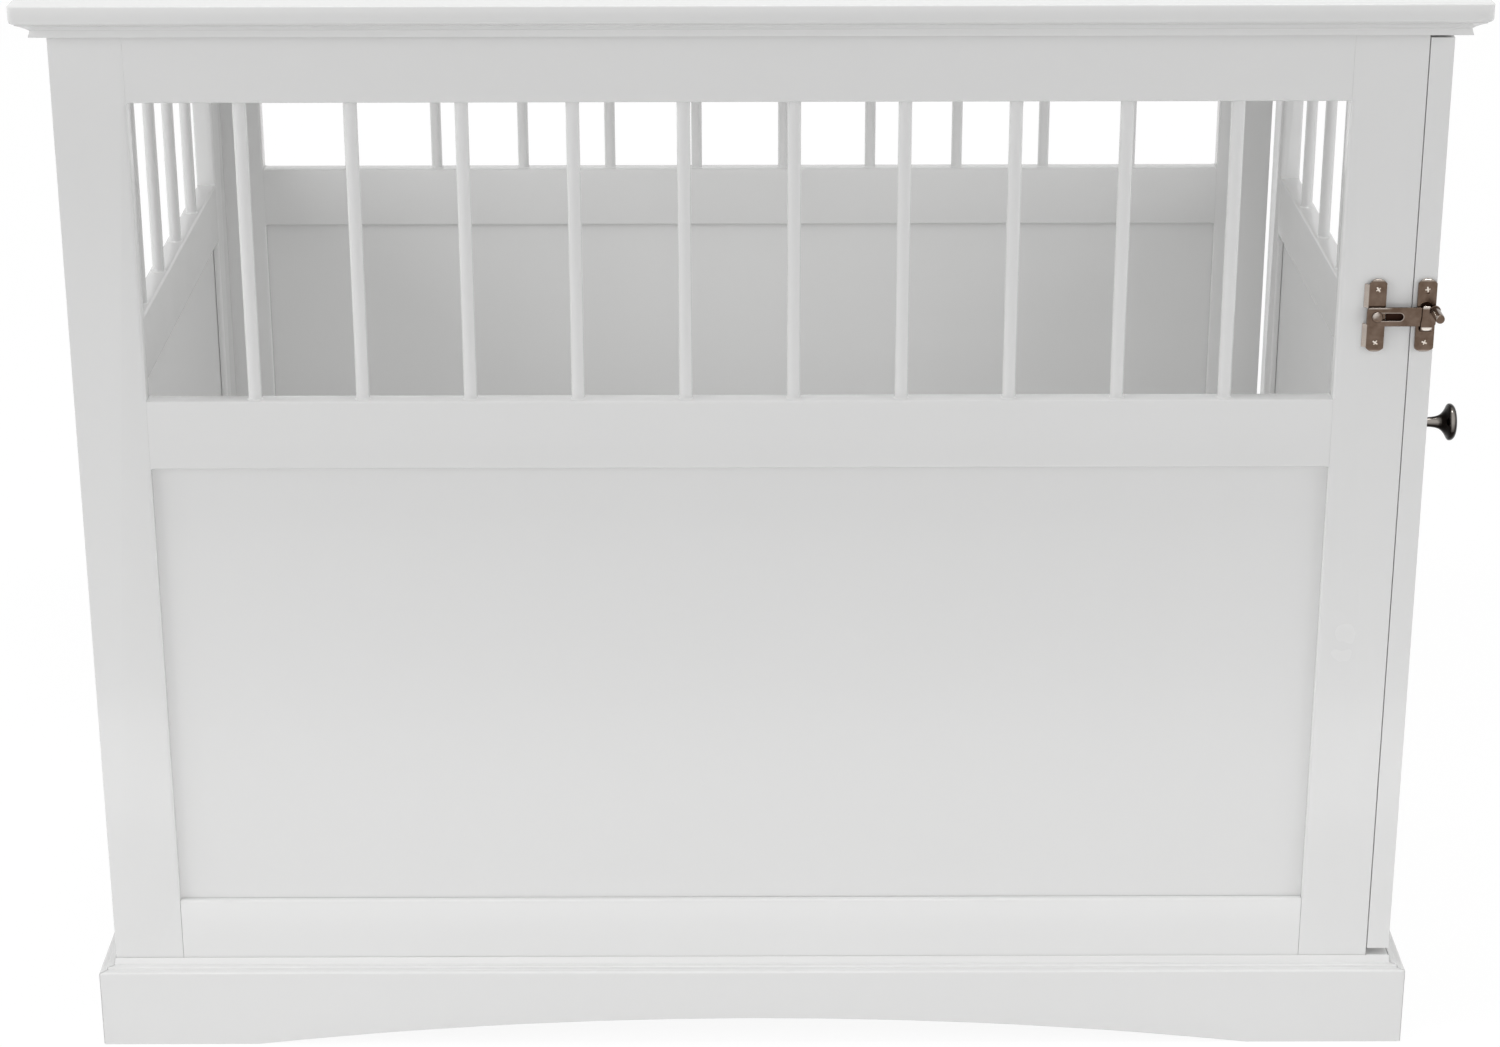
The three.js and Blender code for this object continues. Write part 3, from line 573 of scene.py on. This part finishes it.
def bar_row_tree():
    """A row of round bars, each with a small fillet of paint where it leaves the rail."""
    tree, given, put = new_group(
        "GeometryNodeTree",
        "Row of bars",
        {
            "Count": (INTEGER, 10),
            "Start": (VECTOR, None),
            "Step": (VECTOR, None),
            "Radius": (FLOAT, BAR_RADIUS),
            "Height": (FLOAT, 0.2),
            "Foot": (FLOAT, BAR_FOOT),
            "Sides": (INTEGER, BAR_SIDES),
            "Material": (MATERIAL, None),
        },
        {"Geometry": GEOMETRY},
    )
    places = node(
        tree,
        "GeometryNodeMeshLine",
        {"mode": "OFFSET"},
        {"Count": given["Count"], "Start Location": given["Start"], "Offset": given["Step"]},
    ).outputs[0]
    bar = node(
        tree,
        "GeometryNodeMeshCylinder",
        {},
        {"Vertices": given["Sides"], "Radius": given["Radius"], "Depth": given["Height"]},
    ).outputs["Mesh"]
    half = maths(tree, "MULTIPLY", given["Height"], 0.5)
    lift = node(tree, "ShaderNodeCombineXYZ", {}, {"Z": half}).outputs[0]
    stood = node(
        tree, "GeometryNodeTransform", {}, {"Geometry": bar, "Translation": lift}
    ).outputs[0]
    foot = node(
        tree,
        "GeometryNodeMeshCone",
        {},
        {
            "Vertices": given["Sides"],
            "Radius Top": given["Radius"],
            "Radius Bottom": maths(tree, "ADD", given["Radius"], given["Foot"]),
            "Depth": given["Foot"],
        },
    ).outputs["Mesh"]
    both = node(tree, "GeometryNodeJoinGeometry")
    tree.links.new(stood, both.inputs[0])
    tree.links.new(foot, both.inputs[0])
    row = node(
        tree, "GeometryNodeInstanceOnPoints", {}, {"Points": places, "Instance": both.outputs[0]}
    ).outputs[0]
    finish_tree(tree, row, given["Material"], put)
    return tree


def moulding_tree():
    """A profile swept round a rectangle with mitred corners.

    The sweep stands the profile across each corner at its own width, so a mitre would come out
    thin. The sweep is made wider by the diagonal of a square, and the height divided by it.
    """
    tree, given, put = new_group(
        "GeometryNodeTree",
        "Mitred moulding",
        {
            "Width": (FLOAT, 0.8),
            "Depth": (FLOAT, 0.6),
            "Centre": (VECTOR, None),
            "Profile": (OBJECT, None),
            "Material": (MATERIAL, None),
        },
        {"Geometry": GEOMETRY},
    )
    outline = node(
        tree,
        "GeometryNodeCurvePrimitiveQuadrilateral",
        {"mode": "RECTANGLE"},
        {"Width": given["Width"], "Height": given["Depth"]},
    ).outputs[0]
    placed = node(
        tree, "GeometryNodeTransform", {}, {"Geometry": outline, "Translation": given["Centre"]}
    ).outputs[0]
    upright = node(
        tree, "GeometryNodeSetCurveNormal", {"mode": "Z_UP"}, {"Curve": placed}
    ).outputs[0]
    turned = node(tree, "GeometryNodeReverseCurve", {}, {"Curve": upright}).outputs[0]
    drawn = node(
        tree, "GeometryNodeObjectInfo", {}, {"Object": given["Profile"]}
    ).outputs["Geometry"]
    section = node(tree, "GeometryNodeMeshToCurve", {}, {"Mesh": drawn}).outputs[0]
    squat = node(
        tree,
        "GeometryNodeTransform",
        {},
        {"Geometry": section, "Scale": (-1, -1 / math.sqrt(2), 1)},
    ).outputs[0]
    swept = node(
        tree,
        "GeometryNodeCurveToMesh",
        {},
        {"Curve": turned, "Profile Curve": squat, "Scale": math.sqrt(2)},
    ).outputs[0]
    finish_tree(tree, swept, given["Material"], put)
    return tree


def screw_tree():
    """A screw at each point of the base mesh, facing one way, each driven to its own turn."""
    tree, given, put = new_group(
        "GeometryNodeTree",
        "Screws at marks",
        {
            "Geometry": (GEOMETRY, None),
            "Screw": (OBJECT, None),
            "Facing": (VECTOR, None),
            "Seed": (INTEGER, 3),
            "Material": (MATERIAL, None),
        },
        {"Geometry": GEOMETRY},
    )
    turn = node(
        tree,
        "FunctionNodeRandomValue",
        {"data_type": "FLOAT"},
        {"Min": 0.0, "Max": math.pi / 2, "Seed": given["Seed"]},
    ).outputs[1]
    spin = node(
        tree, "FunctionNodeAxisAngleToRotation", {}, {"Axis": (0, 0, 1), "Angle": turn}
    ).outputs[0]
    facing = node(tree, "FunctionNodeEulerToRotation", {}, {"Euler": given["Facing"]}).outputs[0]
    driven = node(
        tree,
        "FunctionNodeRotateRotation",
        {"rotation_space": "LOCAL"},
        {"Rotation": facing, "Rotate By": spin},
    ).outputs[0]
    screw = node(
        tree, "GeometryNodeObjectInfo", {}, {"Object": given["Screw"], "As Instance": True}
    ).outputs["Geometry"]
    points = node(
        tree, "GeometryNodeMeshToPoints", {}, {"Mesh": given["Geometry"]}
    ).outputs[0]
    driven_in = node(
        tree,
        "GeometryNodeInstanceOnPoints",
        {},
        {"Points": points, "Instance": screw, "Rotation": driven},
    ).outputs[0]
    finish_tree(tree, driven_in, given["Material"], put)
    return tree


# ---- Barred sides ----

def rail_without_bars(name, material, slot):
    """The middle rail by itself: the bars are cut off at the sill and their footprints closed."""
    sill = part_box(name)[0].z + MIDDLE_RAIL
    work = copied(name)
    above = [v for v in work.verts if v.co.z > sill + BAR_CUT]
    bmesh.ops.delete(work, geom=above, context="VERTS")
    open_edges = [e for e in work.edges if e.is_boundary]
    bmesh.ops.holes_fill(work, edges=open_edges, sides=0)
    bmesh.ops.dissolve_limit(work, angle_limit=FLAT, verts=work.verts, edges=work.edges)
    bmesh.ops.recalc_face_normals(work, faces=work.faces)
    mesh = as_mesh(work, name, material)
    smooth(mesh)
    piece = settle(name + "_painted", mesh, body_of_node(name), slot, [name])
    return soften(piece, BOARD_EDGE)


def bar_row(side, tree, material, slot):
    """The bars of one side, evenly spaced between its stiles."""
    rail = f"{side}_barred_rail"
    low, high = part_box(rail)
    stiles = [n for n in frame["nodes"] if n.startswith(side) and n.endswith("_stile")]
    boxes = sorted((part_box(n) for n in stiles), key=lambda b: (b[0].x + b[0].y))
    first, last = boxes[0][1], boxes[1][0]
    runs_along_x = high.x - low.x > high.y - low.y
    middle = (low + high) / 2
    gaps = BARS[side] + 1
    if runs_along_x:
        step = Vector(((last.x - first.x) / gaps, 0, 0))
        start = Vector((first.x, middle.y, 0)) + step
    else:
        step = Vector((0, (last.y - first.y) / gaps, 0))
        start = Vector((middle.x, first.y, 0)) + step
    start.z = low.z + MIDDLE_RAIL
    values = {
        "Count": BARS[side],
        "Start": start,
        "Step": step,
        "Radius": BAR_RADIUS,
        "Height": high.z - start.z,
        "Foot": BAR_FOOT,
        "Sides": BAR_SIDES,
        "Material": material,
    }
    mesh = grown(f"{side}_bars", tree, values)
    return settle(f"{side}_bars", mesh, body_of_node(rail), slot, [rail])


# ---- Cove under the top ----

def cove_profile(height, proud):
    """The moulding's closed outline as a mesh: out to the side along x, up along y, its top at 0.

    A shallow cove runs in from the nose, over a fillet that leans back to catch the light.
    """
    foot = Vector((0, -height))
    start = foot + FILLET_TOP
    end = Vector((proud + NOSE_REACH, -NOSE_HEIGHT))
    pull = (start + end) / 2 + Vector((-COVE_HOLLOW, COVE_HOLLOW))
    outline = [Vector((0, 0)), foot, foot + FILLET_FOOT]
    for step in range(COVE_STEPS + 1):
        t = step / COVE_STEPS
        outline.append(start * (1 - t) ** 2 + pull * 2 * t * (1 - t) + end * t**2)
    outline.append(Vector((end.x, 0)))
    mesh = bpy.data.meshes.new("cove outline")
    count = len(outline)
    edges = [(i, (i + 1) % count) for i in range(count)]
    mesh.from_pydata([(p.x, p.y, 0) for p in outline], edges, [])
    return mesh


def coved_moulding(material, slot):
    names = [n for n in frame["nodes"] if n.startswith("cornice")]
    boxes = [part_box(n) for n in names]
    low = Vector([min(b[0][axis] for b in boxes) for axis in range(3)])
    high = Vector([max(b[1][axis] for b in boxes) for axis in range(3)])
    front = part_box("cornice_front")
    proud = front[1].y - front[0].y
    profile = bpy.data.objects.new("cove outline", cove_profile(high.z - low.z, proud))
    centre = (low + high) / 2
    centre.z = high.z
    values = {
        "Width": high.x - low.x - 2 * proud,
        "Depth": high.y - low.y - 2 * proud,
        "Centre": centre,
        "Profile": profile,
        "Material": material,
    }
    mesh = grown("coved_moulding", moulding_tree(), values)
    bpy.data.objects.remove(profile)
    piece = settle("coved_moulding", mesh, "cabinet", slot, names)
    return soften(piece, MOULDING_EDGE)


# ---- Screws ----

def lathe(profile, sides):
    """A closed turned mesh about Z from (radius, height) points that start and end on the axis."""
    work = bmesh.new()
    rings = []
    for radius, height in profile:
        if radius < ON_AXIS:
            rings.append([work.verts.new((0, 0, height))])
            continue
        ring = []
        for i in range(sides):
            angle = 2 * math.pi * i / sides
            place = (radius * math.cos(angle), radius * math.sin(angle), height)
            ring.append(work.verts.new(place))
        rings.append(ring)
    for lower, upper in zip(rings, rings[1:]):
        for i in range(sides):
            j = (i + 1) % sides
            corners = [lower[i % len(lower)], lower[j % len(lower)]]
            corners += [upper[j % len(upper)], upper[i % len(upper)]]
            face = list(dict.fromkeys(corners))
            if len(face) > 2:
                work.faces.new(face)
    bmesh.ops.recalc_face_normals(work, faces=work.faces)
    return work


def cross_cutter(depth):
    """A tapered cross, wide at the top, that cuts the drive recess of a screw."""
    work = bmesh.new()
    corners = [(1, 1), (-1, 1), (-1, -1), (1, -1)]
    for wide, high in ((SCREW_CROSS, SCREW_SLOT / 2), (SCREW_SLOT / 2, SCREW_CROSS)):
        foot = (wide * CROSS_TAPER[0], high * CROSS_TAPER[1])
        lower = [work.verts.new((x * foot[0], y * foot[1], -depth)) for x, y in corners]
        upper = [work.verts.new((x * wide, y * high, CROSS_TOP)) for x, y in corners]
        work.faces.new(list(reversed(lower)))
        work.faces.new(upper)
        for i in range(4):
            j = (i + 1) % 4
            work.faces.new([lower[i], lower[j], upper[j], upper[i]])
    bmesh.ops.recalc_face_normals(work, faces=work.faces)
    return work


def screw_head(dome, sink):
    """A countersunk screw's head with its cross recess. Its rim is at 0 and its dome above."""
    profile = [(0, -sink), (SCREW_HEAD * SCREW_FOOT, -sink)]
    profile += [(SCREW_HEAD, -SCREW_RIM), (SCREW_HEAD, 0)]
    for step in range(1, SCREW_DOME_STEPS):
        rise = step / SCREW_DOME_STEPS * math.pi / 2
        profile.append((SCREW_HEAD * math.cos(rise), dome * math.sin(rise)))
    profile.append((0, dome))
    head = bpy.data.objects.new("screw", bpy.data.meshes.new("screw"))
    blank = lathe(profile, SCREW_SIDES)
    blank.to_mesh(head.data)
    blank.free()
    cutter = bpy.data.objects.new("cross", bpy.data.meshes.new("cross"))
    cross = cross_cutter(SCREW_RECESS)
    cross.to_mesh(cutter.data)
    cross.free()
    for thing in (head, cutter):
        scene.collection.objects.link(thing)
    recess = head.modifiers.new("Recess", "BOOLEAN")
    recess.operation = "DIFFERENCE"
    recess.solver = "EXACT"
    recess.use_self = True
    recess.object = cutter
    evaluated = head.evaluated_get(bpy.context.evaluated_depsgraph_get())
    mesh = bpy.data.meshes.new_from_object(evaluated)
    head.modifiers.remove(recess)
    bpy.data.objects.remove(cutter)
    head.data = mesh
    smooth(mesh)
    # the cross recess is marked for a painted glint, partly the driver's bared metal
    rub_and_shine(mesh, lambda at, normal: recess_glint_and_rub(at, dome), "FACE")
    return head


def recess_glint_and_rub(at, dome):
    """1 inside the cross of a screw: a painted glint there, partly the metal that the driver has
    bared.
    """
    across = min(math.hypot(at.x, at.y) / SCREW_HEAD, 1)
    below = dome * math.sqrt(1 - across**2) - at.z
    return float(across < SCREW_CROSS / SCREW_HEAD and INTO_RECESS < below < dome + SCREW_RECESS)


def screws(name, tree, screw, marks, facing, seed, body, material, slot):
    base = bpy.data.meshes.new(name)
    base.from_pydata([tuple(m) for m in marks], [], [])
    values = {"Screw": screw, "Facing": facing, "Seed": seed, "Material": material}
    return settle(name, grown(name, tree, values, base), body, slot)


def latch_screws(tree, materials):
    """Two raised screws through each of the latch's plates."""
    screw = screw_head(*RAISED_SCREW)
    facing = Vector((math.pi / 2, 0, 0))
    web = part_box("latch_base_plate")
    for seed, name in enumerate(("latch_base_plate", "latch_keeper")):
        low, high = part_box(name)
        x = high.x - PLATE_HALF if name == "latch_base_plate" else (low.x + high.x) / 2
        z = (low.z + high.z) / 2
        marks = [Vector((x, web[0].y, z + side * STRIKE_SCREW_OFFSET)) for side in (-1, 1)]
        screws(
            name + "_screws", tree, screw, marks, facing, LATCH_TURNS + seed,
            body_of_node(name), materials["nickel"], "aged_bronze",
        )
    bpy.data.objects.remove(screw)


def hinge_screws(tree, materials):
    """Three flat screws through each hinge leaf, staggered in two rows."""
    screw = screw_head(*FLAT_SCREW)
    for name in sorted(n for n in frame["nodes"] if n.endswith("_leaf")):
        low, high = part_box(name)
        side = 1 if "door" in name else -1
        x = hinge_axis + side * HINGE_SCREW_RIM
        facing = Vector((0, -side * math.pi / 2, 0))
        middle = (low.z + high.z) / 2
        marks = [
            Vector((x, low.y + HINGE_SCREW_INSET[i % 2], middle + offset))
            for i, offset in enumerate(HINGE_SCREW_ROWS)
        ]
        screws(
            name + "_screws", tree, screw, marks, facing, HINGE_TURNS,
            body_of_node(name), materials["zinc"], "aged_bronze",
        )
    bpy.data.objects.remove(screw)


# ---- Metal fittings ----

def pressed(name, work, material, highlight_and_wear_at):
    """A stamped form: a solid remeshed finely, so that folds and edges come out rounded."""
    mesh = as_mesh(work, name, material)
    carrier = bpy.data.objects.new(name + "_blank", mesh)
    scene.collection.objects.link(carrier)
    fine = carrier.modifiers.new("Fine", "REMESH")
    fine.mode = "VOXEL"
    fine.voxel_size = PLATE_VOXEL
    relax = carrier.modifiers.new("Relax", "SMOOTH")
    relax.iterations = PLATE_SMOOTHING
    evaluated = carrier.evaluated_get(bpy.context.evaluated_depsgraph_get())
    made = bpy.data.meshes.new_from_object(evaluated)
    bpy.data.objects.remove(carrier)
    made.materials.clear()
    made.materials.append(material)
    made.shade_smooth()
    rub_and_shine(made, highlight_and_wear_at)
    return made


def plated(name, material, slot, highlight_and_wear_at):
    """A CAD plate, pressed and plated."""
    mesh = pressed(name, copied(name), material, highlight_and_wear_at)
    return settle(name + "_plated", mesh, body_of_node(name), slot, [name])


def ramp(value, start, end):
    """0 up to the start, 1 from the end on, and straight between them."""
    return min(max((value - start) / (end - start), 0), 1)


def rolled_end_highlight(height):
    """The painted highlight on a plate where its end rolls back to the wood."""
    return ROLL_HIGHLIGHT * ramp(abs(height), ROLLED_FROM, ROLLED_FROM + ROLL_RAMP)


def rivet_centre():
    low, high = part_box("latch_rivet")
    return (low + high) / 2


def unmarked(at, normal):
    return 0.0


def latch_base(materials, slot):
    """The plate that the bar turns on, with a painted highlight on its lips, and the guide behind
    the slot, coloured near-black as painted shade.
    """
    low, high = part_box("latch_base_plate")
    centre = rivet_centre()
    web_left = centre.x - PLATE_HALF

    def highlight_and_wear_at(at, normal):
        lip = LIP_HIGHLIGHT * ramp(web_left - at.x, *LIP_RAMP)
        return max(lip, rolled_end_highlight(at.z - centre.z))

    plated("latch_base_plate", materials["nickel"], slot, highlight_and_wear_at)
    # the guide is coloured near-black: painted shade for the gap seen through the slot
    guide = block(
        (high.x + LEAF_CLEARANCE, low.y, centre.z - GUIDE_HALF),
        (centre.x + GUIDE_REACH, low.y + PLATE_THICKNESS, centre.z + GUIDE_HALF),
    )
    mesh = pressed("latch_guide", guide, materials["browned"], unmarked)
    settle("latch_guide_browned", mesh, "cabinet", slot)


def latch_bar(materials, slot):
    """The swing bar, with a painted highlight round its slot, and along its upper edge where it
    passes the plate, which is partly real rub.
    """
    centre = rivet_centre()
    top = centre.z + BAR_HALF

    def highlight_and_wear_at(at, normal):
        along = min(max(at.x, centre.x), centre.x + SLOT_TRAVEL)
        away = math.hypot(at.x - along, at.z - centre.z) - SLOT_HALF
        rim = (1 - ramp(away, *SLOT_RAMP)) * ramp(-normal.y, *FRONT_RAMP)
        edge = ramp(at.z, top - EDGE_RAMP[0], top - EDGE_RAMP[1])
        edge *= ramp(-normal.y, *FRONTISH_RAMP)
        edge *= 1 - ramp(at.x - centre.x, PLATE_HALF, PLATE_HALF + EDGE_FADE)
        return max(SLOT_HIGHLIGHT * rim, EDGE_HIGHLIGHT_AND_RUB * edge)

    plated("latch_swing_bar", materials["nickel"], slot, highlight_and_wear_at)


def latch_keeper(materials, slot):
    """The door's plate, with painted highlights at its tongue's fold below the bar and at its lip
    above, and a near-black box behind its window as painted shade.
    """
    low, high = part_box("latch_keeper")
    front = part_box("latch_base_plate")[0].y
    middle = (low.x + high.x) / 2
    level = rivet_centre().z
    bar_low = level - BAR_HALF
    bar_high = level + BAR_HALF

    def highlight_and_wear_at(at, normal):
        on_tongue = ramp(front - at.y, *TONGUE_RAMP)
        across = (at.x - middle) / FOLD_HALF
        down = max(bar_low - at.z, 0) / FOLD_HEIGHT
        fold = 1 - ramp(math.hypot(across, down), *FOLD_RAMP)
        fold *= ramp(bar_low - at.z, 0, TIP_RAMP)
        tip = ramp(at.z, bar_high - TIP_RAMP, bar_high + TIP_RAMP)
        return max(on_tongue * max(fold, TIP_HIGHLIGHT * tip), rolled_end_highlight(at.z - level))

    plated("latch_keeper", materials["nickel"], slot, highlight_and_wear_at)
    # a near-black box behind the keeper's window: painted shade for the dark gap there
    shade_box = block(
        (middle - WINDOW_HALF, high.y - PLATE_THICKNESS, bar_low - WINDOW_BELOW),
        (middle + WINDOW_HALF, high.y - SHADE_BOX_BACK, bar_high + WINDOW_ABOVE),
    )
    mesh = pressed("latch_pocket", shade_box, materials["browned"], unmarked)
    settle("latch_pocket_browned", mesh, "door", slot)


def highlight_streak(direction, strength):
    """A painted highlight along the side of a turned fitting that faces one way."""

    def highlight_and_wear_at(at, normal):
        return strength * ramp(normal.dot(direction.normalized()), *STREAK_RAMP)

    return highlight_and_wear_at


def turned_metal(name, material, slot, suffix):
    """A turned fitting: its many-sided solid subdivided until it is round."""
    # painted highlight streaks on the knob, the finger pin and the rivet
    highlight_and_wear_at = highlight_streak(*HIGHLIGHT_STREAKS[name]) if name in HIGHLIGHT_STREAKS else unmarked
    work = copied(name)
    bmesh.ops.triangulate(work, faces=[f for f in work.faces if len(f.verts) > 4])
    bmesh.ops.join_triangles(
        work,
        faces=work.faces,
        angle_face_threshold=PAIRED_FLAT,
        angle_shape_threshold=PAIRED_SHAPE,
    )
    crease = work.edges.layers.float.new("crease_edge")
    for edge in work.edges:
        if len(edge.link_faces) == 2 and edge.calc_face_angle() > CREASED_CORNER:
            edge[crease] = CREASE
    mesh = as_mesh(work, name, material)
    mesh.shade_smooth()
    rub_and_shine(mesh, highlight_and_wear_at)
    piece = settle(name + suffix, mesh, body_of_node(name), slot, [name])
    rounder = piece.modifiers.new("Rounder", "SUBSURF")
    rounder.levels = ROUNDED_TIMES
    rounder.render_levels = ROUNDED_TIMES
    return piece


# ---- The object ----

def dress_all(materials):
    slots = {s["node"]: s["material_slot"] for s in frame["record"]["subparts"]}
    bars = bar_row_tree()
    for side in BARS:
        rail = f"{side}_barred_rail"
        rail_without_bars(rail, materials["boards"], slots[rail])
        bar_row(side, bars, materials["bars"], slots[rail])
    coved_moulding(materials["boards"], "white_paint")
    seam_strip(materials["boards"], "white_paint")
    fittings = {
        "latch_base_plate": latch_base,
        "latch_swing_bar": latch_bar,
        "latch_keeper": latch_keeper,
    }
    for name, slot in sorted(slots.items()):
        if name.startswith("cornice") or name.endswith("barred_rail"):
            continue
        if slot == "inner_paint":
            dressed_board(name, materials["inside"], slot)
        elif slot == "white_paint":
            kind = "panels" if name.endswith("panel") else "boards"
            edge = SEAM_EDGE if name in BESIDE_THE_SEAM else BOARD_EDGE
            dressed_board(name, materials[kind], slot, edge)
        elif name in fittings:
            fittings[name](materials, slot)
        elif name.endswith("_leaf"):
            leaf = dressed_board(name, materials["nickel"], slot, METAL_EDGE)
            leaf.name = name + "_plated"
        elif name == "door_knob":
            turned_metal(name, materials["bronze"], slot, "_polished")
        elif name == "door_knob_screw":
            turned_metal(name, materials["zinc"], slot, "_plated")
        else:
            turned_metal(name, materials["nickel"], slot, "_plated")
    driven = screw_tree()
    latch_screws(driven, materials)
    hinge_screws(driven, materials)


# ---- Stage, light and camera ----

FLOOR_REACH = 12
FLOOR_PAINT = (0.72, 0.72, 0.72, 1)
FLOOR_GRAIN = 260.0
FLOOR_GLOW = 0.85
FLOOR_STRENGTH = 1.08
AMBIENT = 0.32

CAMERA_LENS = 81.79
CAMERA_SENSOR = 36
CAMERA_PLACE = Vector((-0.0068, -2.4111, 1.1937))
CAMERA_PITCH = math.radians(20.927)
CAMERA_YAW = math.radians(-0.098)
CAMERA_ROLL = math.radians(-0.086)


def seen_rays(tree):
    """1 for rays that look at the backdrop: straight, by reflection or through glass."""
    path = node(tree, "ShaderNodeLightPath").outputs
    seen = maths(tree, "MAXIMUM", path["Is Camera Ray"], path["Is Glossy Ray"])
    return maths(tree, "MAXIMUM", seen, path["Is Transmission Ray"])


def backdrop():
    world = bpy.data.worlds.new("Backdrop")
    world.use_nodes = True
    scene.world = world
    tree = world.node_tree
    tree.nodes.clear()
    light = node(tree, "ShaderNodeBackground", {}, {"Color": WHITE, "Strength": AMBIENT})
    shown = node(tree, "ShaderNodeBackground", {}, {"Color": WHITE, "Strength": 1.0})
    mixed = node(
        tree,
        "ShaderNodeMixShader",
        {},
        {0: seen_rays(tree), 1: light.outputs[0], 2: shown.outputs[0]},
    )
    node(tree, "ShaderNodeOutputWorld", {}, {"Surface": mixed.outputs[0]})


def floor():
    mesh = bpy.data.meshes.new("floor")
    half = FLOOR_REACH / 2
    corners = [(-half, -half, 0), (half, -half, 0), (half, half, 0), (-half, half, 0)]
    mesh.from_pydata(corners, [], [(0, 1, 2, 3)])
    made = bpy.data.materials.new("White floor")
    made.use_nodes = True
    tree = made.node_tree
    tree.nodes.clear()
    place = node(tree, "ShaderNodeTexCoord").outputs["Object"]
    grain = noise(tree, place, FLOOR_GRAIN, 3.0, 0.6)
    rough = node(tree, "ShaderNodeMapRange", {}, {0: grain, 3: 0.7, 4: 0.85}).outputs[0]
    matt = node(
        tree,
        "ShaderNodeBsdfPrincipled",
        {},
        {"Base Color": FLOOR_PAINT, "Roughness": rough, "Specular IOR Level": 0.1},
    )
    glow = node(tree, "ShaderNodeEmission", {}, {"Color": WHITE, "Strength": FLOOR_STRENGTH})
    share = maths(tree, "MULTIPLY", seen_rays(tree), FLOOR_GLOW)
    mixed = node(
        tree, "ShaderNodeMixShader", {}, {0: share, 1: matt.outputs[0], 2: glow.outputs[0]}
    )
    node(tree, "ShaderNodeOutputMaterial", {}, {"Surface": mixed.outputs[0]})
    mesh.materials.append(made)
    plane = bpy.data.objects.new("floor", mesh)
    scene.collection.objects.link(plane)


def area_light(name, place, target, size, power, mirrored=True):
    """A soft lamp. One that isn't mirrored leaves no white patch on the lacquer or the metal."""
    lamp = bpy.data.lights.new(name, "AREA")
    lamp.shape = "RECTANGLE"
    lamp.size, lamp.size_y = size
    lamp.energy = power
    holder = bpy.data.objects.new(name, lamp)
    holder.location = place
    aim = Vector(target) - Vector(place)
    holder.rotation_euler = aim.to_track_quat("-Z", "Y").to_euler()
    holder.visible_camera = False
    holder.visible_glossy = mirrored
    scene.collection.objects.link(holder)


def lights():
    area_light("overhead", (0, -0.42, 2.6), (0, -0.4, 0), (1.9, 0.35), 20)
    area_light("camera side", (0, -6.2, 2.75), (0, 0, 0.38), (2.2, 1.4), 38, mirrored=False)
    area_light("low strip", (0, -0.66, 0.04), (0, -0.3, 0.14), (1.9, 0.1), 0.6)
    area_light("left", (-2.6, -1.2, 1.2), (0, 0, 0.4), (1.6, 1.6), 27, mirrored=False)
    area_light("right", (2.6, -1.2, 1.2), (0, 0, 0.4), (1.6, 1.6), 20, mirrored=False)
    area_light("behind", (0, 3.4, 1.9), (0, 0, 0.4), (2.4, 1.4), 30, mirrored=False)
    area_light("under the top", (0, 0, 0.69), (0, 0, 0), (0.76, 0.46), 0.42)
    area_light("cabin floor", (0, 0, 0.08), (0, 0, 1), (0.7, 0.42), 0.38)


def camera():
    lens = bpy.data.cameras.new("camera")
    lens.lens = CAMERA_LENS
    lens.sensor_width = CAMERA_SENSOR
    holder = bpy.data.objects.new("camera", lens)
    turn = Matrix.Rotation(CAMERA_YAW, 4, "Z")
    tilt = Matrix.Rotation(math.pi / 2 - CAMERA_PITCH, 4, "X")
    roll = Matrix.Rotation(CAMERA_ROLL, 4, "Z")
    holder.matrix_world = Matrix.Translation(CAMERA_PLACE) @ turn @ tilt @ roll
    scene.collection.objects.link(holder)
    scene.camera = holder


dress_all(finishes())
backdrop()
floor()
lights()
camera()
scene.view_settings.view_transform = "Standard"
